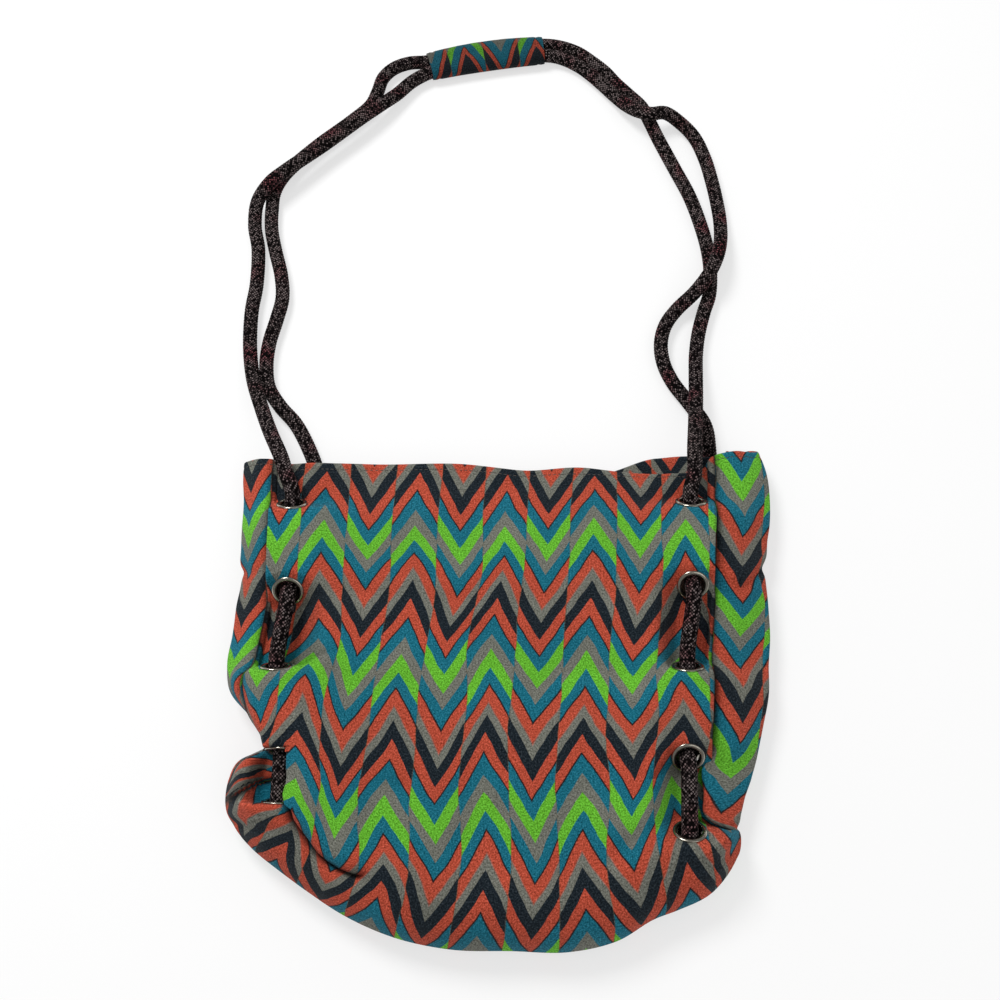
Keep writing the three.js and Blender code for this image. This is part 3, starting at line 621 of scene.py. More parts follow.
backPlan = {
    "name": "back_panel_cloth", "columns": ("backLeft", "backRight"), "hemY": [152, 160], "hemDepth": 16,
    "hemLevel": 13, "seamShare": 0.3, "seamLevel": 4, "crestLevel": 4,
    "middle": [0.8] * 16, "wave": [0.12, 0, 0, 0, 0, 0.12], "rise": [-15.2, -15.2, -12, 0],
    "hemWave": [0, 0, 0, 0, -1.7, -3.9, -6.8, -9, -6, 3.7, 0, 2.7, 5.5, 6],
    "leftDrift": [0] * 12, "rightDrift": [0] * 16,
    "waves": 0.4, "seed": 9, "sewnTo": (15, 12), "seamShade": (1.5, 1.5), "printTop": 125, "printAside": 12.2,
    "liftFrom": 1.5, "liftSoft": 6,
}


def columnLine(column, hemY, plan):
    line = [[0, hemY, plan["hemLevel"]], [0, hemY - plan["hemDepth"], plan["hemLevel"]]]
    for step, eyelet in enumerate(column):
        upper, lower = (eyelet["at"] + way * eyelet["down"] * clothPlan["patch"] for way in (1, -1))
        if step:
            middle = (line[-1] + upper) / 2
            middle[2] += clothPlan["crest"] if line[-1][2] > eyelet["at"][2] else -clothPlan["crest"]
            line.append(middle)
        line += [upper, lower]
    line = np.array(line, float)
    line[:2, 0] = line[2, 0]
    return line


def upperRows(plan):  # from the hem to the lowest eyelets
    c = clothPlan
    left, right = (columnLine(columns[name], y, plan) for name, y in zip(plan["columns"], plan["hemY"]))
    patch, last = np.array([c["patch"], 0, 0]), len(left) - 1
    onCorner = lambda place: np.array(place + [c["equator"]], float)
    seamZ = lambda z: plan["seamLevel"] + (z - plan["seamLevel"]) * plan["seamShare"]
    onSeam = lambda p, shift: np.array([p[0] + shift, p[1], seamZ(p[2])])
    rows = []
    for step, (a, b) in enumerate(zip(left, right)):
        corner = step - (last - 3)
        edgeA = onCorner(c["leftCorner"][corner]) if corner >= 0 else onSeam(a, plan["leftDrift"][step] - c["seam"])
        edgeB = onCorner(c["rightCorner"][0]) if step == last else onSeam(b, plan["rightDrift"][step] + c["seam"])
        crestA, crestB = (edgeA + (a - patch)) / 2, (edgeB + (b + patch)) / 2
        if corner > 0:
            crestA[2] = plan["crestLevel"]
        if step == last:
            crestB[2] = plan["crestLevel"]
        row, near, far = [edgeA, crestA, a - patch, a + patch], a + patch, b - patch
        for share, wave in zip(c["shares"], plan["wave"]):
            place = near + (far - near) * share
            place[1] += c["sag"][step] * 4 * share * (1 - share)
            place[2] = plan["middle"][step] + (place[2] - plan["middle"][step]) * wave
            row.append(place)
        row = np.array(row + [b - patch, b + patch, crestB, edgeB])
        if step < c["hemRows"]:
            row[:, 1] += plan["hemWave"]
        rows.append(row)
    return rows


def bottomRows(plan):  # along the bag's rolled bottom edge
    c, rows = clothPlan, []
    edge = np.array(c["bottomEdge"], float)
    flow = np.vstack([edge[1:2] - edge[:1], edge[2:] - edge[:-2], edge[-1:] - edge[-2:-1]])
    inward = unit(np.stack([-flow[:, 1], flow[:, 0]], 1))
    shares = np.ones(len(edge))
    shares[:3], shares[-3:] = c["cornerShare"], c["cornerShare"][::-1]
    for step, inset in enumerate(c["inset"]):
        reach = inset * shares
        rise = np.interp(reach, c["inset"][::-1], plan["rise"][::-1])
        row = np.column_stack([edge + inward * reach[:, None], c["equator"] + rise])
        for k, start in ((0, c["leftCorner"][4]), (-1, c["rightCorner"][1])):
            row[k, :2] = np.array(start) + (edge[k] - start) * (step / 3)
            row[k, 2] = c["equator"]
        pace = runOf(row)
        fine = through(row[:, None], pace, np.linspace(0, pace[-1], 600))[:, 0]  # takes up the columns from above
        row[3:-3] = np.column_stack([np.interp(c["bottomColumns"], fine[:, 0], x) for x in fine.T])
        rows.append(row)
    return rows


def panelRows(plan):
    upper = upperRows(plan)
    rows = np.array(upper + bottomRows(plan), float)
    for step in range(len(upper) - 1, 0, -1):  # rows stay apart in the middle
        rows[step, 3:-3, 1] = np.maximum(rows[step, 3:-3, 1], rows[step + 1, 3:-3, 1] + clothPlan["apart"])
    return rows


frontRows, backRows = panelRows(frontPlan), panelRows(backPlan)


def gussetRows(side):
    c, k = clothPlan, 0 if side < 0 else -1
    bulge = c["leftBulge" if side < 0 else "rightBulge"]
    rows = []
    for step, reach in enumerate(bulge):
        front, back = frontRows[step, k].copy(), backRows[step, k].copy()
        if step == len(bulge) - 1:  # pointed end, closed on the corner
            front[2], back[2] = c["equator"] + c["endHalf"], c["equator"] - c["endHalf"]
        outer = side * (eyeletPlan["span"] / 2 + reach)
        turn = ((front, 0.45, 0.2), (front, 0.85, 0.35), (front, 1, 0.5), (back, 0.8, 0.7), (back, 0.35, 0.85))
        rows.append([front, *([start[0] + (outer - start[0]) * share, front[1] + (back[1] - front[1]) * drop,
                               start[2] + (c["equator"] - start[2]) * share**2] for start, share, drop in turn), back])
    return np.array(rows, float)


def fineGrid(rows, hemDepth):
    c = clothPlan
    down, across = (np.concatenate([[0], np.cumsum(np.linalg.norm(np.diff(rows, axis=k), axis=2).mean(1 - k))])
                    for k in (0, 1))
    start = c["hemSteps"] + [hemDepth + x for x in c["hemEnd"]]
    rest = np.linspace(start[-1], down[-1], int((down[-1] - start[-1]) / c["cell"]) + 1)[1:]
    atDown = np.append(start, rest)
    atAcross = np.linspace(0, across[-1], int(across[-1] / c["cell"]) + 1)
    edges = np.array(c["seamSteps"])  # finer at the seams
    atAcross = np.sort(np.concatenate([atAcross, edges, across[-1] - edges]))
    grid = through(rows, down, atDown)
    grid = np.swapaxes(through(np.swapaxes(grid, 0, 1), across, atAcross), 0, 1)
    return grid, atDown, atAcross, down, across


def normalsOf(grid):
    return unit(np.cross(np.gradient(grid, axis=0), np.gradient(grid, axis=1)))


def offAxis(places, eyelet):  # height over an eyelet's plane, and the way out from its axis
    rel = places - eyelet["at"]
    height = rel @ eyelet["axis"]
    return height, rel - height[..., None] * eyelet["axis"]


def flattenAt(grid, eyelets):  # cloth lies flat under each flange
    c = clothPlan
    for eyelet in eyelets:
        height, out = offAxis(grid, eyelet)
        near = ease((c["flange"] - np.linalg.norm(out, axis=-1)) / c["flangeSoft"]) \
            * ease((c["flangeNear"] - np.abs(height)) / c["flangeSoft"])
        grid = grid - (near * height)[..., None] * eyelet["axis"]
    return grid


def beside(cells):  # points that touch any of these cells
    p = np.pad(cells, 1)
    return p[:-1, :-1] | p[1:, :-1] | p[:-1, 1:] | p[1:, 1:]


def punch(grid, eyelets):  # holes for the barrels, their edge snapped to a circle
    middle = (grid[:-1, :-1] + grid[1:, :-1] + grid[:-1, 1:] + grid[1:, 1:]) / 4
    gone = np.zeros(middle.shape[:2], bool)
    for eyelet in eyelets:
        height, out = offAxis(middle, eyelet)
        cut = (np.linalg.norm(out, axis=-1) < clothPlan["hole"]) & (np.abs(height) < clothPlan["holeNear"])
        gone |= cut
        rim = beside(cut) & beside(~cut)
        grid[rim] = eyelet["at"] + unit(offAxis(grid[rim], eyelet)[1]) * clothPlan["hole"]
    return grid, gone


def clothSolid(name, grid, outward, inward, uv, uvInside, gone, printRows, shade):
    r, c = grid.shape[:2]
    normal = normalsOf(grid)
    verts = np.vstack([(grid + normal * outward).reshape(-1, 3), (grid - normal * inward).reshape(-1, 3)])
    maps = np.vstack([uv.reshape(-1, 2), uvInside.reshape(-1, 2)])
    kept = ~gone
    pad = np.pad(kept, 1)
    i, j = np.nonzero(kept)
    o = lambda a, b: a * c + b  # outer side
    n = lambda a, b: r * c + o(a, b)  # inner side
    faces = [np.stack([o(i, j), o(i + 1, j), o(i + 1, j + 1), o(i, j + 1)], 1),
             np.stack([n(i, j), n(i, j + 1), n(i + 1, j + 1), n(i + 1, j)], 1)]
    for da, db, quad in (  # walls along every open edge
        (-1, 0, lambda a, b: [o(a, b), o(a, b + 1), n(a, b + 1), n(a, b)]),
        (1, 0, lambda a, b: [o(a + 1, b), n(a + 1, b), n(a + 1, b + 1), o(a + 1, b + 1)]),
        (0, -1, lambda a, b: [o(a, b), n(a, b), n(a + 1, b), o(a + 1, b)]),
        (0, 1, lambda a, b: [o(a, b + 1), o(a + 1, b + 1), n(a + 1, b + 1), n(a, b + 1)]),
    ):
        faces.append(np.stack(quad(*np.nonzero(kept & ~pad[1 + da:r + da, 1 + db:c + db])), 1))
    faces = np.vstack(faces)
    slots = np.zeros(len(faces), int)
    slots[len(i):2 * len(i)] = i >= printRows  # the cloth's reverse below the hem
    used, place = np.unique(faces, return_inverse=True)
    return addPiece(name, verts[used], place.reshape(-1, 4).tolist(), maps[faces.ravel()] / 100,
                    [printedCanvas, canvasReverse], slots, shade=np.tile(shade.ravel(), 2)[used])


# where the print lies on the front: plan place in mm, then place on the cloth as cut

printMarks = np.array([
    [-57.6, 135, -60.2, 134.8], [1.6, 134.3, 0.1, 135.1], [-149.9, 119.7, -150.7, 116.4],
    [-135.3, 121.2, -134.7, 119.8], [-97.8, 119.7, -98.8, 121.4], [31.7, 119.7, 32.5, 123.7],
    [57.8, 119.7, 59.2, 120], [71.1, 119.7, 72.6, 119.9], [109.8, 119.7, 111.5, 123.6], [-149.9, 98, -150.2, 96.8],
    [-123.8, 106.8, -124, 105.4], [-105.1, 105, -105.6, 107.6], [-76.3, 103.6, -76.3, 107],
    [-15.9, 103.6, -15.6, 108.2], [41.8, 106.5, 44.3, 108.2], [58.1, 106.8, 60.3, 105.5], [89.8, 109, 90.5, 110.8],
    [101.2, 106.5, 103.5, 108.8], [118.9, 102.9, 121, 100.6], [-150.9, 83.8, -150.9, 84.2],
    [-106.6, 72.8, -105.8, 71], [-85, 80.8, -84.6, 82.8], [-71.9, 80.8, -71.9, 81.9], [-30.5, 74.2, -30.4, 78.1],
    [31.8, 80.8, 35, 81.2], [71.5, 72.8, 74.8, 69.4], [117.9, 79.1, 121.1, 77.4], [131.3, 72.1, 133.9, 72.2],
    [-149.9, 59.4, -151, 63], [-135.2, 70.1, -134.7, 70], [-72.2, 67.7, -72.2, 64.8], [-46.8, 71.4, -46.2, 70.1],
    [-15.1, 70.1, -14.9, 71.1], [11.7, 70.1, 14.8, 70.2], [83.7, 68.3, 86.8, 67.2], [96.8, 68.3, 100, 67.6],
    [109.8, 68.3, 112.7, 67.5], [-124.3, 54.7, -124.2, 55.2], [-71.7, 54.7, -71.3, 52.5], [-32.8, 54.7, -32, 57.4],
    [-6.9, 54.7, -2.9, 54.4], [83.8, 54.7, 87.9, 55.4], [96.8, 54.7, 101.6, 55.4], [-124.2, 41.9, -124.6, 43.7],
    [-111.3, 41.9, -110.8, 41.4], [-97.8, 41.9, -96.8, 41.2], [-32.7, 41.9, -29.8, 45.9], [-6.9, 41.9, -0.1, 41.6],
    [18.9, 41.9, 26, 42.5], [84, 41.9, 89.4, 44.6], [96.9, 41.9, 102.9, 45], [127.8, 41.9, 134.4, 43.3],
    [-151, 29.2, -152.1, 29.4], [-136.3, 29.2, -135.5, 36.8], [-119.2, 20.9, -120.6, 23.6],
    [-81.8, 20.3, -77.3, 21.5], [71.3, 29.2, 78.8, 32.1], [125, 27.9, 129.9, 35.8], [-136.8, 16, -134.3, 23.9],
    [-50.5, 17, -45.1, 20.2], [-25.7, 18.3, -16, 19.4], [-9.4, 13.7, 0.2, 12.4], [6.5, 18.3, 15.3, 19.9],
    [58.1, 16, 67.1, 16.4], [95, 15, 104.6, 20.6], [108.4, 16, 117.2, 20.3], [123, 16, 129.5, 24.7],
    [-126.4, -4.4, -119.5, -12.8], [-155.6, -8.9, -149.3, -12.4], [-98.6, -12.8, -90.3, -11.3],
    [-56, -17.9, -45.7, -18.5], [-24.1, -18.5, -14.6, -18], [34.5, -18.5, 45.5, -20.4], [111.3, -7.7, 121.5, -11.8],
    [-143.6, -27.6, -135.7, -32.2], [-127.5, -25.4, -120.6, -29.5], [-111.2, -23.2, -101.3, -25.4],
    [-6.8, -23.2, 5.3, -25.8], [58.2, -23.2, 70.1, -22.2], [83.8, -23.2, 95, -23.1], [-153.8, -33, -152.1, -36.6],
    [-146.8, -42.6, -135.7, -44.5], [-129.7, -37.7, -120.6, -40.2], [-85.1, -35.8, -75.1, -33.6],
    [-19.8, -35.8, -8, -36.4], [6.3, -35.8, 20.5, -39], [44.8, -35.8, 57.7, -35.7], [70.9, -35.8, 84.3, -37.9],
    [97, -35.8, 107.8, -37.9], [111.4, -38.3, 122.4, -39.8], [-130.2, -47, -120.6, -51.5],
    [-111.1, -48.8, -100.6, -47.5], [-98.2, -48.8, -86.7, -44.9], [-72.2, -48.8, -61.4, -45],
    [-59.3, -48.8, -47.9, -45.2], [-46.3, -48.8, -35.2, -44.1], [-32.7, -48.8, -20.9, -44.7],
    [-6.8, -48.8, 7.7, -50.6], [32.1, -48.8, 45.7, -48.3], [58.1, -48.8, 71.9, -50], [84, -48.8, 96.6, -49.5],
    [122.9, -48.8, 134.3, -51.4], [-128.9, -67.3, -120.6, -75], [-113.7, -71.1, -105.5, -69.4],
    [-46, -62.3, -33.8, -56.4], [-20.3, -62.3, -6.1, -60.5], [6.1, -62.3, 19.8, -60.8], [28.7, -70.5, 44.5, -68.1],
    [77.9, -66.7, 89.9, -65], [85.8, -71.1, 101.1, -69.2], [104.8, -64.1, 125.5, -75.3],
    [-154.5, -83.4, -149.6, -120.4], [-130.5, -79.2, -121.6, -89.3], [-98.2, -75, -83.6, -69.9],
    [-74.9, -77.7, -60.5, -75.7], [-58.6, -72.9, -45.5, -68], [-29.9, -72.9, -15.5, -68.3], [-6.7, -75, 6.9, -74.9],
    [45.1, -75, 59.3, -74.8], [104.2, -75, 125.8, -87.5], [-161, -92.1, -151.7, -134.1],
    [-110.9, -88.1, -99.7, -89.1], [6, -88.1, 19.6, -86.6], [44.8, -88.1, 58.6, -88.2], [58.1, -88.1, 71.2, -87.3],
    [96.9, -88.1, 115, -99.1], [103.6, -87.5, 123.2, -101.2], [118.6, -89.9, 136.1, -101.2],
    [-132.3, -104.1, -121.9, -128.4], [-103.2, -103.5, -89.8, -102.5], [-12.1, -99.8, -0.1, -100],
    [31.4, -108.4, 45.7, -105.8], [74.9, -99.6, 90.1, -100.8], [89.9, -103.1, 105.2, -111.5],
    [107.7, -106, 121.5, -119.5], [122.7, -101.1, 137, -116.1], [-138.3, -116.3, -122.4, -141],
    [-102.6, -116.8, -89.8, -114.4], [-42.7, -116.2, -30, -111], [17.6, -116.7, 30.1, -111.9],
    [57.9, -113.9, 73.7, -114.8], [-110, -134.8, -92, -146.7], [-74.2, -126, -60.3, -127.1],
    [-59, -127.1, -44.9, -127.2], [5.8, -127.1, 19, -122.6], [108.3, -130.8, 120.7, -138.7],
    [119.5, -133.9, 131.6, -144.7], [-17, -144.6, -1.7, -138.8], [5.7, -140.1, 20.4, -134.9],
    [46.2, -142.8, 59.9, -139.1], [84.3, -140.1, 96.8, -142.2], [-47.9, -149.6, -30.5, -142.8]])
bulgeMarks = np.array([  # the gathered corner, where the cloth turns
    [-157.1, -55.1, -210.3, -122.4], [-166.3, -62, -211.4, -132.1], [-170.7, -68.6, -213.3, -143.2],
    [-147.6, -44.8, -221.1, -105.8], [-143.1, -56.4, -202, -108.7], [-157.7, -58.3, -203.7, -122.9],
    [-144.1, -58.9, -198.2, -114.2], [-160.3, -64.7, -202.1, -132.2], [-150.1, -61.7, -197.7, -124.9],
    [-170, -73.5, -199.4, -135.4], [-155.9, -65.3, -197.6, -129], [-166.8, -74.7, -183.8, -121.4],
    [-159.3, -69.6, -183.1, -120.5], [-152.2, -66.8, -184.1, -116.5], [-146.2, -65, -184.1, -108.2],
    [-164.9, -73.2, -165.3, -138.1], [-149.5, -69.2, -164.4, -103.6], [-156.7, -71.1, -165.5, -117.6],
    [-164.5, -78.3, -165.4, -124.6], [-158.9, -75.3, -161.3, -118.5], [-151.9, -70.9, -161.6, -104.2],
    [-154.3, -82.8, -151.5, -123.1], [-161.3, -91.4, -150.1, -132.2], [-145, -81.9, -142.5, -108.6],
    [-144.8, -84.8, -143.1, -120], [-167, -83.6, -163.4, -127.3], [-143.1, -74.1, -151.2, -113.1],
    [-148.3, -75.5, -152.8, -115.2]])
creaseLine = [[-138.1, -67.1], [-144.1, -67.9], [-151.8, -68.6], [-157.9, -71.7], [-162.3, -74.7], [-166.7, -77.7],
              [-170.7, -80.1], [-178, -85.5]]


def plateKernel(square):
    return np.where(square > 1e-9, square * np.log(np.maximum(square, 1e-9)), 0)


def drawnPrint(places, marks):  # smooth sheet through all the marks
    at, to = marks[:, :2], marks[:, 2:]
    n = len(at)
    system = np.zeros((n + 3, n + 3))
    system[:n, :n] = plateKernel(((at[:, None] - at) ** 2).sum(-1)) + np.eye(n)
    system[:n, n] = system[n, :n] = 1
    system[:n, n + 1:], system[n + 1:, :n] = at, at.T
    weights = np.linalg.solve(system, np.vstack([to, np.zeros((3, 2))]))
    flat = places.reshape(-1, 2)
    near = np.vstack([plateKernel(((part[:, None] - at) ** 2).sum(-1)) for part in np.array_split(flat, 40)])
    return (near @ weights[:n] + weights[n] + flat @ weights[n + 1:]).reshape(places.shape)


def inPlan(grid, level=40):  # places as the photograph's view lays them on one level
    eye = np.array(cameraPlan["place"], float)
    share = (level - eye[2]) / (grid[..., 2] - eye[2])
    return eye[:2] + (grid[..., :2] - eye[:2]) * share[..., None]


def unrolled(grid, rowEdge, colLeft, colRight):  # rolled edges laid out flat by their length
    seen, plan = inPlan(grid), inPlan(grid)
    apart = lambda a, b: np.linalg.norm(a - b, axis=1)[:, None]
    for start, end, step in ((colLeft, 0, -1), (colRight, grid.shape[1] - 1, 1)):
        out = unit(seen[:, end] - seen[:, start])
        for j in range(start, end, step):
            plan[:, j + step] = plan[:, j] + out * apart(grid[:, j + step], grid[:, j])
    out, rolled = unit(seen[-1] - seen[rowEdge]), clothPlan["rolled"]
    for i in range(rowEdge + 1, grid.shape[0]):
        long, short = (apart(x[i], x[i - 1]) for x in (grid, seen))
        plan[i] = plan[i - 1] + out * (rolled * long + (1 - rolled) * short)
    return plan


# folds seen in the cloth: a line in plan, its depth and width, a fold-over where one layer lies on the next, and dark,
# painted shade under the fold's edge
# the layer on top is on the line's left

foldPlan = [
    {"sink": 12, "wide": 4, "lift": 2.6, "over": 5, "dark": 1, "soft": 0.32,
     "line": [[-135, -75], [-132.9, -79.6], [-127.8, -89.3], [-118.7, -99.3], [-112.3, -108], [-106.5, -112.7],
              [-98, -117.7], [-88.6, -121.2], [-79, -122.6]]},
    {"sink": 2.2, "wide": 1.6, "lift": 0.5,
     "line": [[-172, -79], [-166.9, -75.8], [-162.6, -72.8], [-158.2, -69.8], [-152.2, -66.8], [-144.6, -66.1]]},
    {"sink": 2.6, "wide": 3, "lift": 1.6, "over": 1.8,
     "line": [[-108, 11.5], [-120.7, 7.8], [-130.7, 4.6], [-140, 2], [-149, 0]]},
    {"sink": 2.6, "wide": 2.6, "lift": 1.2, "over": 1.2,
     "line": [[86, -69], [93.7, -60.1], [99.5, -54.6], [104.6, -50.4]]},
    {"sink": 1.3, "wide": 3.2, "lift": 0.8, "line": [[-115.8, 143], [-120.4, 123.7], [-127, 108]]},
    {"sink": 1.0, "wide": 3.6, "lift": 0.8, "line": [[71, -18], [89.4, -32.4], [104, -46]]},
    {"sink": 1.8, "wide": 6, "lift": 1.0, "line": [[52, -124], [66.7, -109.5], [80.4, -99], [95, -92]]},
    {"sink": 1.4, "wide": 4, "lift": 0.8, "line": [[-124, -52], [-104, -58], [-86, -60]]},
    {"sink": 5.5, "wide": 3.2, "lift": 1.5, "over": 1.8,
     "line": [[108, -92], [117.2, -87.2], [124.3, -90.8], [131.3, -94.3], [142, -98]]},
    {"sink": 1.7, "wide": 7, "lift": 1.0, "line": [[-132, 50], [-104.5, 54], [-68.8, 52.3], [-33.1, 49.6], [-5, 50]]},
    {"sink": 1.3, "wide": 7, "lift": 0.8, "line": [[110, 53], [80, 50], [45, 46], [15, 44]]},
    {"sink": 1.0, "wide": 8, "lift": 0.6, "line": [[-110, -2], [-80, -8], [-50, -6]]},
    {"sink": 1.0, "wide": 8, "lift": 0.6, "line": [[100, -4], [70, -6], [40, -2]]},
]
foldShape = {  # place and width of each part, in widths of the fold; dark is painted shade
    "dark": (-0.5, 0.75), "sink": (-0.3, 1), "lift": (1.6, 1.7), "over": (0.9, 1),
    "soft": 0.18, "darkSoft": 0.1, "reach": 40}

# where a pleat ends beside the rope and the panel runs on:
# rows of the pleat, edge in plan, width of the rise, fold over the rope

cornerSpan = {"rows": (11, 15), "side": 1, "start": 3, "wide": 5, "over": 8.5, "fade": -60,
              "edge": [[-137.2, -46], [-132.9, -54.8], [-132.6, -68.7], [-133.7, -77.7], [-132.4, -88]]}
spanPlan = [
    {"rows": (5, 9), "side": 1, "edge": [[-134, 60], [-134, 0]], "start": 0, "wide": 22, "over": 0, "fade": -50},
    {"rows": (5, 9), "side": -1, "edge": [[113, 60], [113, 0]], "start": 0, "wide": 22, "over": 0, "fade": 40},
    {"rows": (11, 15), "side": -1, "edge": [[110, -50], [108, -100]], "start": 0, "wide": 26, "over": 0, "fade": 30},
]
spanShape = {"fadeSoft": 40, "lapWide": 3.2, "lapStart": 0.1, "lapEnd": 0.16}
waistPlan = {"y": -45, "wide": 12, "x": -140, "soft": 11, "in": 4.5}


def spanned(grid, atDown, down, plan):
    first, last = (int(np.searchsorted(atDown, down[k])) for k in plan["rows"])
    share = ((atDown[first:last] - atDown[first]) / (atDown[last] - atDown[first]))[:, None]
    span = grid[first] * (1 - share[..., None]) + grid[last] * share[..., None]
    edge = np.array(plan["edge"], float)
    gap = plan["side"] * (span[..., 0] - np.interp(-span[..., 1], -edge[:, 1], edge[:, 0]))
    far = plan["side"] * (plan["fade"] - span[..., 0])
    near = ease((gap - plan["start"]) / plan["wide"]) * ease(far / spanShape["fadeSoft"])
    higher = near * (span[..., 2] > grid[first:last, :, 2])
    grid[first:last] += higher[..., None] * (span - grid[first:last])
    lap = plan["over"] * hump(gap - (plan["start"] + plan["wide"]), spanShape["lapWide"]) \
        * ease(share / spanShape["lapStart"]) * ease((1 - share) / spanShape["lapEnd"])
    grid[first:last, :, 0] -= plan["side"] * lap
    return grid


def pinched(grid, plan=waistPlan):  # the waist above the gathered corner
    near = hump(grid[..., 1] - plan["y"], plan["wide"]) * ease((plan["x"] - grid[..., 0]) / plan["soft"])
    grid[..., 0] += plan["in"] * near
    return grid


def folded(grid):  # and the painted shade down in the folds
    dark = np.zeros(grid.shape[:2])
    for fold in foldPlan:
        line, soft = np.array(fold["line"], float), foldShape["soft"]
        gap, share = awayFrom(grid[..., :2], line)
        part = lambda k: fold.get(k, 0) * hump(gap - foldShape[k][0] * fold["wide"], foldShape[k][1] * fold["wide"])
        toEnd = ease((1 - share) / soft)
        # painted shade under the fold's edge, kept for the cloth's colour
        dark += ease(share / foldShape["darkSoft"]) * toEnd * part("dark")
        ends = ease(share / fold.get("soft", soft)) * toEnd * (np.abs(gap) < foldShape["reach"])
        lift, sink, over = part("lift"), part("sink"), part("over")
        grid[..., 2] += ends * (lift - sink)
        if "over" in fold:
            flow = unit(line[-1] - line[0])
            off = np.array([flow[1], -flow[0]])  # away from the upper layer
            grid[..., :2] += (ends * over)[..., None] * off
    return grid, dark


wavePlan = {"count": 12, "sizes": (24, 70), "level": 3.5}


def softWaves(grid, amount, seed):  # slow unevenness of worn cloth
    rng = np.random.default_rng(seed)
    total = np.zeros(grid.shape[:2])
    for _ in range(wavePlan["count"]):
        angle, size, phase = rng.uniform(0, np.pi), rng.uniform(*wavePlan["sizes"]), rng.uniform(0, 2 * np.pi)
        total += np.sin((grid[..., 0] * np.cos(angle) + grid[..., 1] * np.sin(angle)) * 2 * np.pi / size + phase)
    return total * amount / wavePlan["level"]


hemPlan = {"roundAt": [0, 0.4, 0.9, 1.6, 2.6], "round": [0.1, 0.55, 0.8, 0.95, 1], "innerRound": 1.6,
           "innerShares": (0.35, 0.65), "dip": 0.22, "dipAt": 4.6, "dipWide": 0.9}


def hemThickness(atDown, hemDepth):  # folded edge, round at the top, with the ply inside and a dip for the stitches
    c, h = clothPlan, hemPlan
    edge = np.interp(atDown, h["roundAt"], h["round"])
    outward = c["half"] * edge - h["dip"] * hump(atDown - h["dipAt"], h["dipWide"])
    inward = c["half"] + c["ply"] * (atDown < hemDepth) * edge
    base, more = h["innerShares"]
    inward = np.where(atDown < h["innerRound"], inward * (base + more * edge), inward)
    return outward[:, None, None], inward[:, None, None]


def sewnSides(plan, atDown, atAcross, down):  # how firmly each side is sewn, how far it is, width of its painted shade line
    away = atAcross, atAcross[-1] - atAcross
    return [(ease((down[row] - atDown) / clothPlan["sewnEnd"])[:, None], far[None], wide)
            for row, far, wide in zip(plan["sewnTo"], away, plan["seamShade"])]


def seamed(grid, seams):  # cloth turns in at a sewn edge, with painted shade along it
    turn = sum(firm * hump(far, clothPlan["seamWide"]) for firm, far, _ in seams)
    shade = sum(firm * hump(far, wide) for firm, far, wide in seams)
    return grid - normalsOf(grid) * (clothPlan["seamDeep"] * np.minimum(turn, 1))[..., None], shade


def finished(name, grid, uv, atDown, hemDepth, shade, eyelets=()):
    grid, gone = punch(grid, eyelets)
    hem, uvInside = atDown < hemDepth + 0.1, uv.copy()
    uvInside[hem, :, 1] = 2 * uv[:1, :, 1] - uv[hem, :, 1]  # print runs on round the edge
    piece = clothSolid(name, grid, *hemThickness(atDown, hemDepth), uv, uvInside, gone, hem.sum(), np.clip(shade, 0, 1))
    return piece, grid, atDown


# dark, darkFrom and darkWide: painted shade along the corner crease
bulgePlan = {"right": -133, "foot": -95, "rowSoft": 2, "footSoft": 8, "rightSoft": 3, "under": 6, "upperMarks": -175,
             "joinRight": -100, "asSeen": 0.8, "asFlat": 0.2, "aboveMost": (-178, -101),
             "belowLeast": (-165.4, -np.inf), "dark": 1.25, "darkFrom": 0.4, "darkWide": 2.2}


def bulgePrint(uv, seen, flat, turned, plan):  # cloth hidden in the gathered corner's crease parts the print, and a painted shade line along the crease hides the jump
    gap, _ = awayFrom(seen, creaseLine)
    upper = bulgeMarks[:, 2] < plan["upperMarks"]
    corner = printMarks[(printMarks[:, 0] < plan["joinRight"]) & (printMarks[:, 1] < plan["foot"])]
    place = seen * plan["asSeen"] + flat * plan["asFlat"]
    above = np.minimum(drawnPrint(place, bulgeMarks[upper]), plan["aboveMost"])
    below = np.maximum(drawnPrint(place, np.vstack([bulgeMarks[~upper], corner])), plan["belowLeast"])
    uv = uv + turned[..., None] * (np.where((gap > 0)[..., None], below, above) - uv)
    # print switched across the crease, with painted shade along it
    return uv, turned * plan["dark"] * hump(gap - plan["darkFrom"], plan["darkWide"])


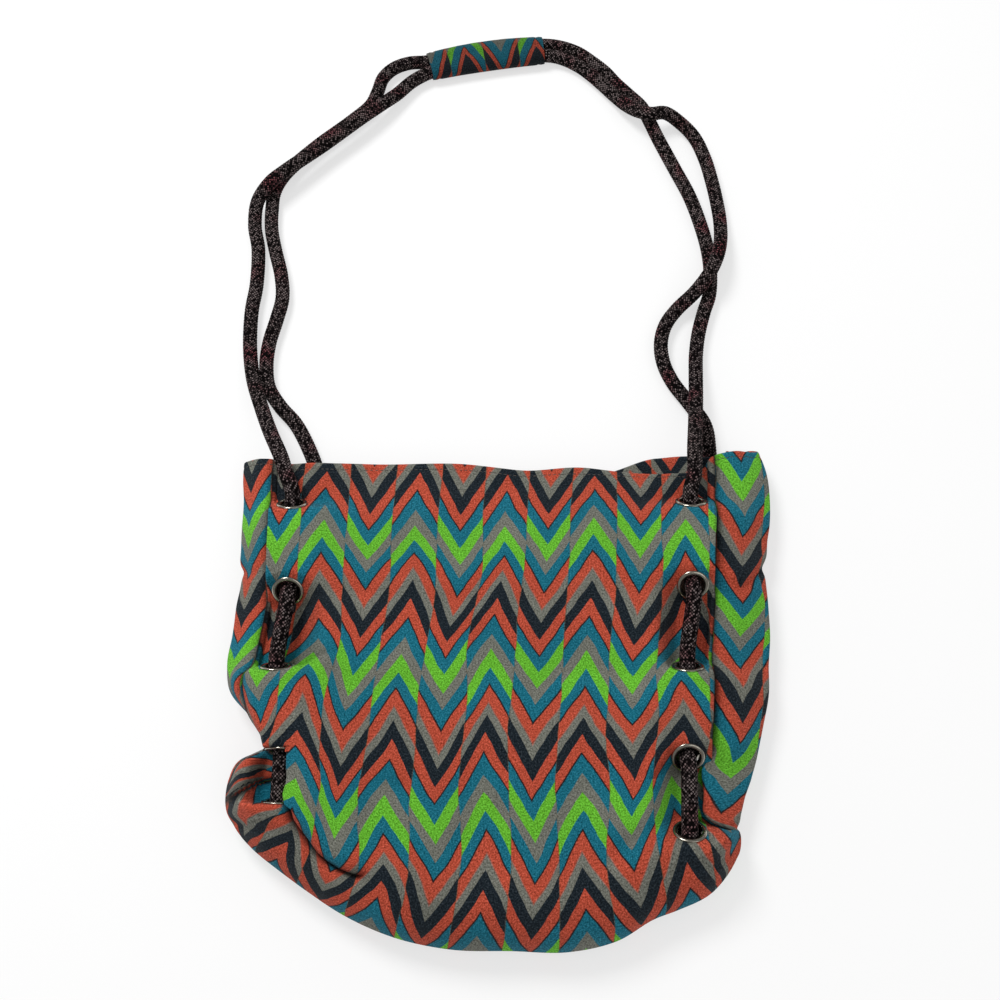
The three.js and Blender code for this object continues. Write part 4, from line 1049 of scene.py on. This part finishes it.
def makeFront(plan):
    grid, atDown, atAcross, down, across = fineGrid(frontRows, plan["hemDepth"])
    eyelets = columns["frontLeft"] + columns["frontRight"]
    rowEdge = int(np.searchsorted(atDown, down[-4]))
    colEdges = [int(np.searchsorted(atAcross, across[k])) for k in (1, -2)]
    grid = pinched(grid)
    for span in spanPlan:
        grid = spanned(grid, atDown, down, span)
    calm = ease((atDown[-1] - atDown) / clothPlan["calm"])[:, None] * ease(atAcross / clothPlan["calm"]) \
        * ease((across[-1] - atAcross) / clothPlan["calm"])
    grid[..., 2] += calm * softWaves(grid, plan["waves"], plan["seed"])
    flat, plain = unrolled(grid, rowEdge, *colEdges), inPlan(grid)
    grid, dark = folded(grid)
    grid = flattenAt(grid, eyelets)
    low = grid[..., 2].copy()
    grid = spanned(grid, atDown, down, cornerSpan)
    seen = inPlan(grid)
    flat = flat + seen - plain
    b, cornerTop = bulgePlan, (down[11] + down[12]) / 2
    turned = ease((atDown - cornerTop) / b["rowSoft"])[:, None] * ease((seen[..., 1] - b["foot"]) / b["footSoft"]) \
        * ease((b["right"] - seen[..., 0]) / b["rightSoft"]) * (1 - ease((grid[..., 2] - low) / b["under"]))
    uv, paintedCreaseShade = bulgePrint(drawnPrint(flat, printMarks), seen, flat, turned, b)
    grid, shade = seamed(grid, sewnSides(plan, atDown, atAcross, down))
    # seam, fold and crease darkness here is painted shade in the cloth's colour
    return finished(plan["name"], grid, uv, atDown, plan["hemDepth"], shade + dark + paintedCreaseShade, eyelets)


def makeBack(plan):
    grid, atDown, atAcross, down, across = fineGrid(backRows[:, ::-1], plan["hemDepth"])
    eyelets = columns["backLeft"] + columns["backRight"]
    flatDown, flatAcross = np.meshgrid(atDown, atAcross, indexing="ij")
    uv = np.stack([flatAcross - across[-1] / 2 - plan["printAside"], plan["printTop"] - flatDown], -1)
    lifted = ease((grid[..., 2] - plan["liftFrom"]) / plan["liftSoft"])
    grid[..., 2] += lifted * softWaves(grid, plan["waves"], plan["seed"])
    grid = flattenAt(grid, eyelets)
    grid[..., 2] = np.maximum(grid[..., 2], clothPlan["half"] + 0.02)  # stays on the floor
    grid, shade = seamed(grid, sewnSides(plan, atDown, atAcross, down))
    return finished(plan["name"], grid, uv, atDown, plan["hemDepth"], shade, eyelets)


gussetPlan = {  # height on the cloth for heights on the bag, and how far from the seam a valley's middle lies
    "waves": 0.8, "seed": 21, "hemRise": 2.6, "hemReach": 45, "seamShade": (3.0, 1.9), "swellAt": 6, "swellWide": 5,
    "left": {"name": "left_gusset_cloth", "column": -150.75, "across": 0.95, "middle": [[-60, 18], [190, 18]],
             "print": [[-60, -70.9], [10, -4], [30.6, 18.3], [90.4, 76.8], [126.5, 108.3], [190, 163]],
             "fold": [[-156, 64], [-169.4, 70], [-175.6, 74], [-187, 78]], "deep": 1.7, "wide": 3.6, "swell": 0.6},
    "right": {"name": "right_gusset_cloth", "column": 150.75, "across": 0.84,
              "middle": [[-110, 6], [-85.8, 13.7], [-74.5, 16.1], [-64.5, 19], [-55.5, 18.5], [-43, 18.9], [-25, 19.5]],
              "print": [[-110, -148.2], [-85.8, -123.9], [-74.5, -112.4], [-64.5, -102.4], [-55.8, -89.9],
                        [-43.3, -78.2], [-31.8, -66.9], [-18.4, -55.4], [-4.9, -44.5], [24.3, -16.7], [58.1, 20],
                        [91.2, 50.3], [121.3, 74.8], [146.3, 96], [200, 146.2]],
              "fold": [[138, 75], [146, 64], [154, 59], [162.5, 66.5], [172.1, 76.9], [182, 86]],
              "deep": 2.4, "wide": 3.2, "swell": 1.2},
}
lapPlan = {"top": -46, "foot": -100, "soft": 16, "peak": 7, "over": 11, "lift": 4}


def lapped(grid, far, plan=lapPlan):  # rolls over the seam beside the lowest right stretch of rope
    near = ease((plan["top"] - grid[..., 1]) / plan["soft"]) * ease((grid[..., 1] - plan["foot"]) / plan["soft"])
    roll = near * (far / plan["peak"]) * np.exp(1 - far / plan["peak"])
    return grid + roll[..., None] * np.array([-plan["over"], 0, plan["lift"]])


def makeGusset(side):
    both, plan = gussetPlan, gussetPlan["left" if side < 0 else "right"]
    grid, atDown, *_ = fineGrid(gussetRows(side)[:, ::side], frontPlan["hemDepth"])
    far = np.array([runOf(row) for row in grid[:, ::side]])[:, ::side]  # from the front seam
    whole = far.max(1, keepdims=True)
    alongPlan = lambda knots: np.interp(grid[..., 1], *np.transpose(knots))
    printX = plan["column"] + side * (far - alongPlan(plan["middle"])) * plan["across"]
    uv = np.stack([printX, alongPlan(plan["print"])], -1)
    inside = np.sin(np.pi * np.clip(far / np.maximum(whole, 1), 0, 1))
    waves = softWaves(np.stack([far, grid[..., 1]], -1), both["waves"], both["seed"] + side)
    gap, share = awayFrom(grid[..., :2], plan["fold"])  # the pinch beside the second eyelet
    gap = gap * side
    waves = waves - plan["deep"] * hump(gap + 1, plan["wide"]) * ease(share / 0.15) \
        + plan["swell"] * hump(gap - both["swellAt"], both["swellWide"])
    grid = grid + normalsOf(grid) * (waves * inside)[..., None]
    grid[..., 1] += both["hemRise"] * ease(1 - atDown / both["hemReach"])[:, None] * inside  # higher at its outer turn
    grid = pinched(grid) if side < 0 else grid
    grid, shade = seamed(grid, [(1, far, both["seamShade"][0]), (1, whole - far, both["seamShade"][1])])
    grid = lapped(grid, far) if side > 0 else grid
    return finished(plan["name"], grid, uv, atDown, frontPlan["hemDepth"], shade)


frontCloth, *frontHem = makeFront(frontPlan)
backCloth, *backHem = makeBack(backPlan)
leftCloth, *leftHem = makeGusset(-1)
rightCloth, *rightHem = makeGusset(1)
print("cloth panels drawn")


# sleeve: soft oval tube round the two strands

def sleeveLayer(plan, thick):
    angle = np.arange(plan["around"] + 1) * 2 * np.pi / plan["around"]
    c, s = np.cos(angle), np.sin(angle)
    oval = lambda x: np.sign(x) * np.abs(x) ** plan["squareness"]
    sink = lambda x, deep, wide: deep * hump(x, wide)
    rings = []
    for share in np.linspace(0, 1, plan["steps"] + 1):
        at, across = sleeveFrame(share)
        end = min(share, 1 - share) * plan["long"]
        pull = -sink(end, *plan["endPull"]) - sink(end - plan["seamAt"], *plan["seamPull"])  # stitched near both ends
        puff = sum(high * np.sin(share * pace + phase) for high, pace, phase in plan["puffs"])
        wide = plan["halfWide"] + plan["fuller"] * np.sin(np.pi * share) - thick + pull
        z = oval(s) * (plan["halfHigh"] - thick + pull) - sink(c, *plan["dip"]) * (s > 0)  # dips between the strands
        z = np.where(s > 0, z + plan["puffHigh"] * puff * s, z)
        rings.append(at + across * (oval(c) * wide)[:, None] + np.array([0, 0, 1]) * z[:, None])
    return np.array(rings)


def makeSleeve(plan):
    around, last = plan["around"], plan["steps"] * plan["around"]
    outer, inner = sleeveLayer(plan, 0.0), sleeveLayer(plan, plan["cloth"])
    arc = np.array([runOf(ring) for ring in outer])
    arc = arc - arc[:, around // 4][:, None]
    along = np.linspace(0, plan["long"], plan["steps"] + 1)[:, None] - plan["printStart"] * plan["long"]
    uv = np.stack(np.broadcast_arrays(along, plan["printTop"] - arc), -1)
    verts = np.vstack([layer[:, :-1].reshape(-1, 3) for layer in (outer, inner)])
    faces, loops = tubeFaces(uv)
    count, back = last + around, [0, 3, 2, 1]
    a = np.arange(around)
    b = (a + 1) % around
    rims = [np.stack([a, count + a, count + b, b], 1), last + np.stack([a, b, count + b, count + a], 1)]
    faces = np.vstack([faces, count + faces[:, back], *rims])
    rimLoops = np.repeat(np.vstack([uv[0, :-1], uv[-1, :-1]]), 4, axis=0)
    loops = np.vstack([loops.reshape(-1, 2), loops[:, back].reshape(-1, 2), rimLoops])
    return addPiece("strap_sleeve_cloth", verts, faces.tolist(), loops / 100, [sleeveCanvas], sharp=70)


sleeveCloth = makeSleeve(sleevePlan)
print("sleeve made")


# geometry nodes: eyelets and stitches are set on points that carry their own directions

def newTree(name, sizes):
    inputs = {"Geometry": "Geometry", **{label: "Float" for label in sizes}}
    tree, given, out = newGroup(name, inputs, {"Geometry": "Geometry"}, "GeometryNodeTree")
    for item in tree.interface.items_tree:
        if item.name in sizes:
            item.default_value = sizes[item.name] * mm
    return tree, given, out["Geometry"]


def ringMesh(radius, half, tall, level, facets):  # a ring of oval section
    tree = radius.tree
    circle = lambda size, sides: addNode(
        tree, "GeometryNodeCurvePrimitiveCircle", {"Resolution": sides, "Radius": size})
    path, section = circle(radius, eyeletPlan["sides"]), circle(half, facets)
    sweep = addNode(tree, "GeometryNodeCurveToMesh", {"Curve": path, "Profile Curve": section})
    scale = addNode(tree, "ShaderNodeCombineXYZ", {0: 1.0, 1: 1.0, 2: tall / half})
    place = addNode(tree, "ShaderNodeCombineXYZ", {2: level})
    return addNode(tree, "GeometryNodeTransform", {"Geometry": sweep, "Scale": scale, "Translation": place})


def settle(points, shape, rotation, material, out):  # on every point, then plain mesh with its material
    inputs = {"Points": points, "Instance": shape, "Rotation": rotation}
    made = addNode(points.tree, "GeometryNodeInstanceOnPoints", inputs)
    made = addNode(points.tree, "GeometryNodeRealizeInstances", {0: made})
    made = addNode(points.tree, "GeometryNodeSetShadeSmooth", {0: made})
    plug(addNode(points.tree, "GeometryNodeSetMaterial", {0: made, "Material": material}), out)


def named(tree, label):
    return addNode(tree, "GeometryNodeInputNamedAttribute", {"Name": label}, data_type="FLOAT_VECTOR")["Attribute"]


def eyeletTree(plan, material):
    parts = ("bore", "rim", "crown", "wall", "cloth", "washer")
    labels = ("Bore radius", "Rim width", "Crown height", "Wall", "Cloth half", "Washer height")
    tree, given, out = newTree("eyeletSet", {label: plan[part] for label, part in zip(labels, parts)})
    bore, rim, crown, wall, cloth, washer = (given[label] for label in labels)
    under = (cloth + washer * plan["plateDeep"]) * -1.0
    flange = ringMesh(bore + rim * 0.5, rim * 0.5, crown, cloth + crown * plan["flangeLift"], 16)
    deep = cloth + washer * plan["barrelDeep"]
    barrel = ringMesh(bore + wall * 0.5, wall * 0.5, deep, washer * plan["barrelShift"], 10)
    plate = ringMesh(bore + rim * plan["plateOut"], rim * plan["plateHalf"], washer * 0.5, under, 10)
    lip = ringMesh(bore + wall * plan["lipOut"], wall, washer * plan["lipTall"], under - washer * 0.5, 10)
    join = addNode(tree, "GeometryNodeJoinGeometry")
    for shape in (flange, barrel, plate, lip):
        plug(shape, join.node.inputs[0])
    turn = addNode(tree, "FunctionNodeAlignRotationToVector", {"Vector": named(tree, "facing")}, axis="Z")
    settle(given["Geometry"], join, turn, material, out)
    return tree


def stitchTree(plan, material):
    sizes = {"Half length": plan["half"], "Half width": plan["wide"], "Half height": plan["high"]}
    tree, given, out = newTree("hemStitch", sizes)
    ball = addNode(tree, "GeometryNodeMeshUVSphere", {"Segments": 6, "Rings": 5, "Radius": 1.0})
    size = addNode(tree, "ShaderNodeCombineXYZ", {k: given[label] for k, label in enumerate(sizes)})
    shape = addNode(tree, "GeometryNodeTransform", {"Geometry": ball, "Scale": size})
    axes = {"Primary Axis": named(tree, "along"), "Secondary Axis": named(tree, "facing")}
    turn = addNode(tree, "FunctionNodeAxesToRotation", axes, primary_axis="X", secondary_axis="Z")
    settle(given["Geometry"], shape, turn, material, out)
    return tree


def onPoints(name, points, directions, tree):  # runs the tree and keeps the plain mesh
    mesh = bpy.data.meshes.new(name)
    mesh.from_pydata((np.asarray(points) * mm).tolist(), [], [])
    for label, values in directions.items():
        layer = mesh.attributes.new(label, "FLOAT_VECTOR", "POINT")
        layer.data.foreach_set("vector", np.asarray(values, np.float32).ravel())
    piece = putIn(name, mesh)
    piece.modifiers.new("nodes", "NODES").node_group = tree
    made = bpy.data.meshes.new_from_object(piece.evaluated_get(bpy.context.evaluated_depsgraph_get()))
    piece.modifiers.clear()
    piece.data = made
    for label in directions:
        if label in made.attributes:
            made.attributes.remove(made.attributes[label])
    return piece


stitchPlan = {"pitch": 3.4, "half": 1.2, "wide": 0.28, "high": 0.26, "below": 4.6, "sunk": 0.12}


def stitchLine(grid, atDown, plan):
    k = int(np.argmin(np.abs(atDown - plan["below"])))
    normal = normalsOf(grid)[k]
    line = grid[k] + normal * (clothPlan["half"] - plan["sunk"])
    step = spaced(np.hstack([line, normal]), plan["pitch"])
    ahead = unit(np.gradient(step[:, :3], axis=0))
    return step[1:-1, :3], ahead[1:-1], unit(step[1:-1, 3:])


allEyelets = [eyelet for column in columns.values() for eyelet in column]
eyeletSet = onPoints("eyelet_set", [e["at"] for e in allEyelets], {"facing": [e["axis"] for e in allEyelets]},
                     eyeletTree(eyeletPlan, eyeletNickel))
stitches = [stitchLine(*hem, stitchPlan) for hem in (frontHem, backHem, leftHem, rightHem)]
stitchAt, stitchAlong, stitchFacing = (np.vstack(part) for part in zip(*stitches))
hemStitches = onPoints("hem_stitches", stitchAt, {"along": stitchAlong, "facing": stitchFacing},
                       stitchTree(stitchPlan, hemThread))
print("eyelets and stitches set")


# stage: pale floor and soft light from the upper left

stagePlan = {"lights": {"key": {"place": (-0.75, 1.0, 1.5), "size": 0.7, "power": 24},
                        "fill": {"place": (0.9, -0.7, 1.4), "size": 1.4, "power": 4}},
             "aim": (0, 0.15, 0), "sky": 0.52, "mirror": 0.25, "white": (1, 1, 1, 1),
             "floor": (0.92, 0.92, 0.92, 1), "floorGlow": 0.62, "reach": 6, "level": -0.0004}


def makeLight(name, plan):
    data = bpy.data.lights.new(name, "AREA")
    data.shape, data.size, data.energy = "DISK", plan["size"], plan["power"]
    lamp = putIn(name, data)
    lamp.location = plan["place"]
    ahead = np.subtract(stagePlan["aim"], plan["place"])
    lamp.rotation_euler = Vector(ahead).to_track_quat("-Z", "Y").to_euler()


def makeWorld(plan):  # white to the eye, dimmer as light
    scene.world = bpy.data.worlds.new("studio")
    scene.world.use_nodes = True
    tree = scene.world.node_tree
    paths = addNode(tree, "ShaderNodeLightPath")
    seen = reckon("MAXIMUM", paths["Is Camera Ray"], paths["Is Transmission Ray"])
    level = ranged(paths["Is Glossy Ray"], 0.0, 1.0, plan["sky"], plan["mirror"])
    feed(tree.nodes["Background"], {"Color": plan["white"], "Strength": reckon("MAXIMUM", level, seen)})


def makeFloor(plan):
    material, tree, shader = newMaterial("paleFloor")
    feed(shader, {"Base Color": plan["floor"], "Roughness": 1.0, "Specular IOR Level": 0.0})
    paths = addNode(tree, "ShaderNodeLightPath")
    seen = reckon("MAXIMUM", paths["Is Camera Ray"], paths["Is Glossy Ray"])
    seen = reckon("MAXIMUM", seen, paths["Is Transmission Ray"])
    glow = addNode(tree, "ShaderNodeEmission", {"Color": plan["white"], "Strength": 1.0})
    mix = addNode(tree, "ShaderNodeMixShader", {0: seen * plan["floorGlow"], 1: Wire(shader), 2: glow})
    plug(mix, tree.nodes["Material Output"].inputs[0])
    mesh, reach, level = bpy.data.meshes.new("floor"), plan["reach"], plan["level"]
    corners = [(-reach, -reach, level), (reach, -reach, level), (reach, reach, level), (-reach, reach, level)]
    mesh.from_pydata(corners, [], [[0, 1, 2, 3]])
    mesh.materials.append(material)
    putIn("floor", mesh)


for name, plan in stagePlan["lights"].items():
    makeLight(name, plan)
makeWorld(stagePlan)
makeFloor(stagePlan)
print("stage set")


# what each piece stands for

def stands(piece, slot, *nodes):
    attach(piece, "root")
    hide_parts(*nodes)


stands(frontCloth, "printed_canvas", "front_panel")
stands(backCloth, "printed_canvas", "back_panel")
stands(leftCloth, "printed_canvas", "left_gusset")
stands(rightCloth, "printed_canvas", "right_gusset")
stands(sleeveCloth, "printed_canvas", "strap_sleeve")
stands(strandFirst, "braided_rope", "strap_rope_first")
stands(strandSecond, "braided_rope", "strap_rope_second")
stands(laceLeft, "braided_rope", "lace_left")
stands(laceRight, "braided_rope", "lace_right")
stands(eyeletSet, "eyelet_metal", *[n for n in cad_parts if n.startswith(("eyelet_", "washer_"))])
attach(hemStitches, "root")

(spaced(lineFirst, 3) * mm).tolist()
(spaced(lineSecond, 3) * mm).tolist()
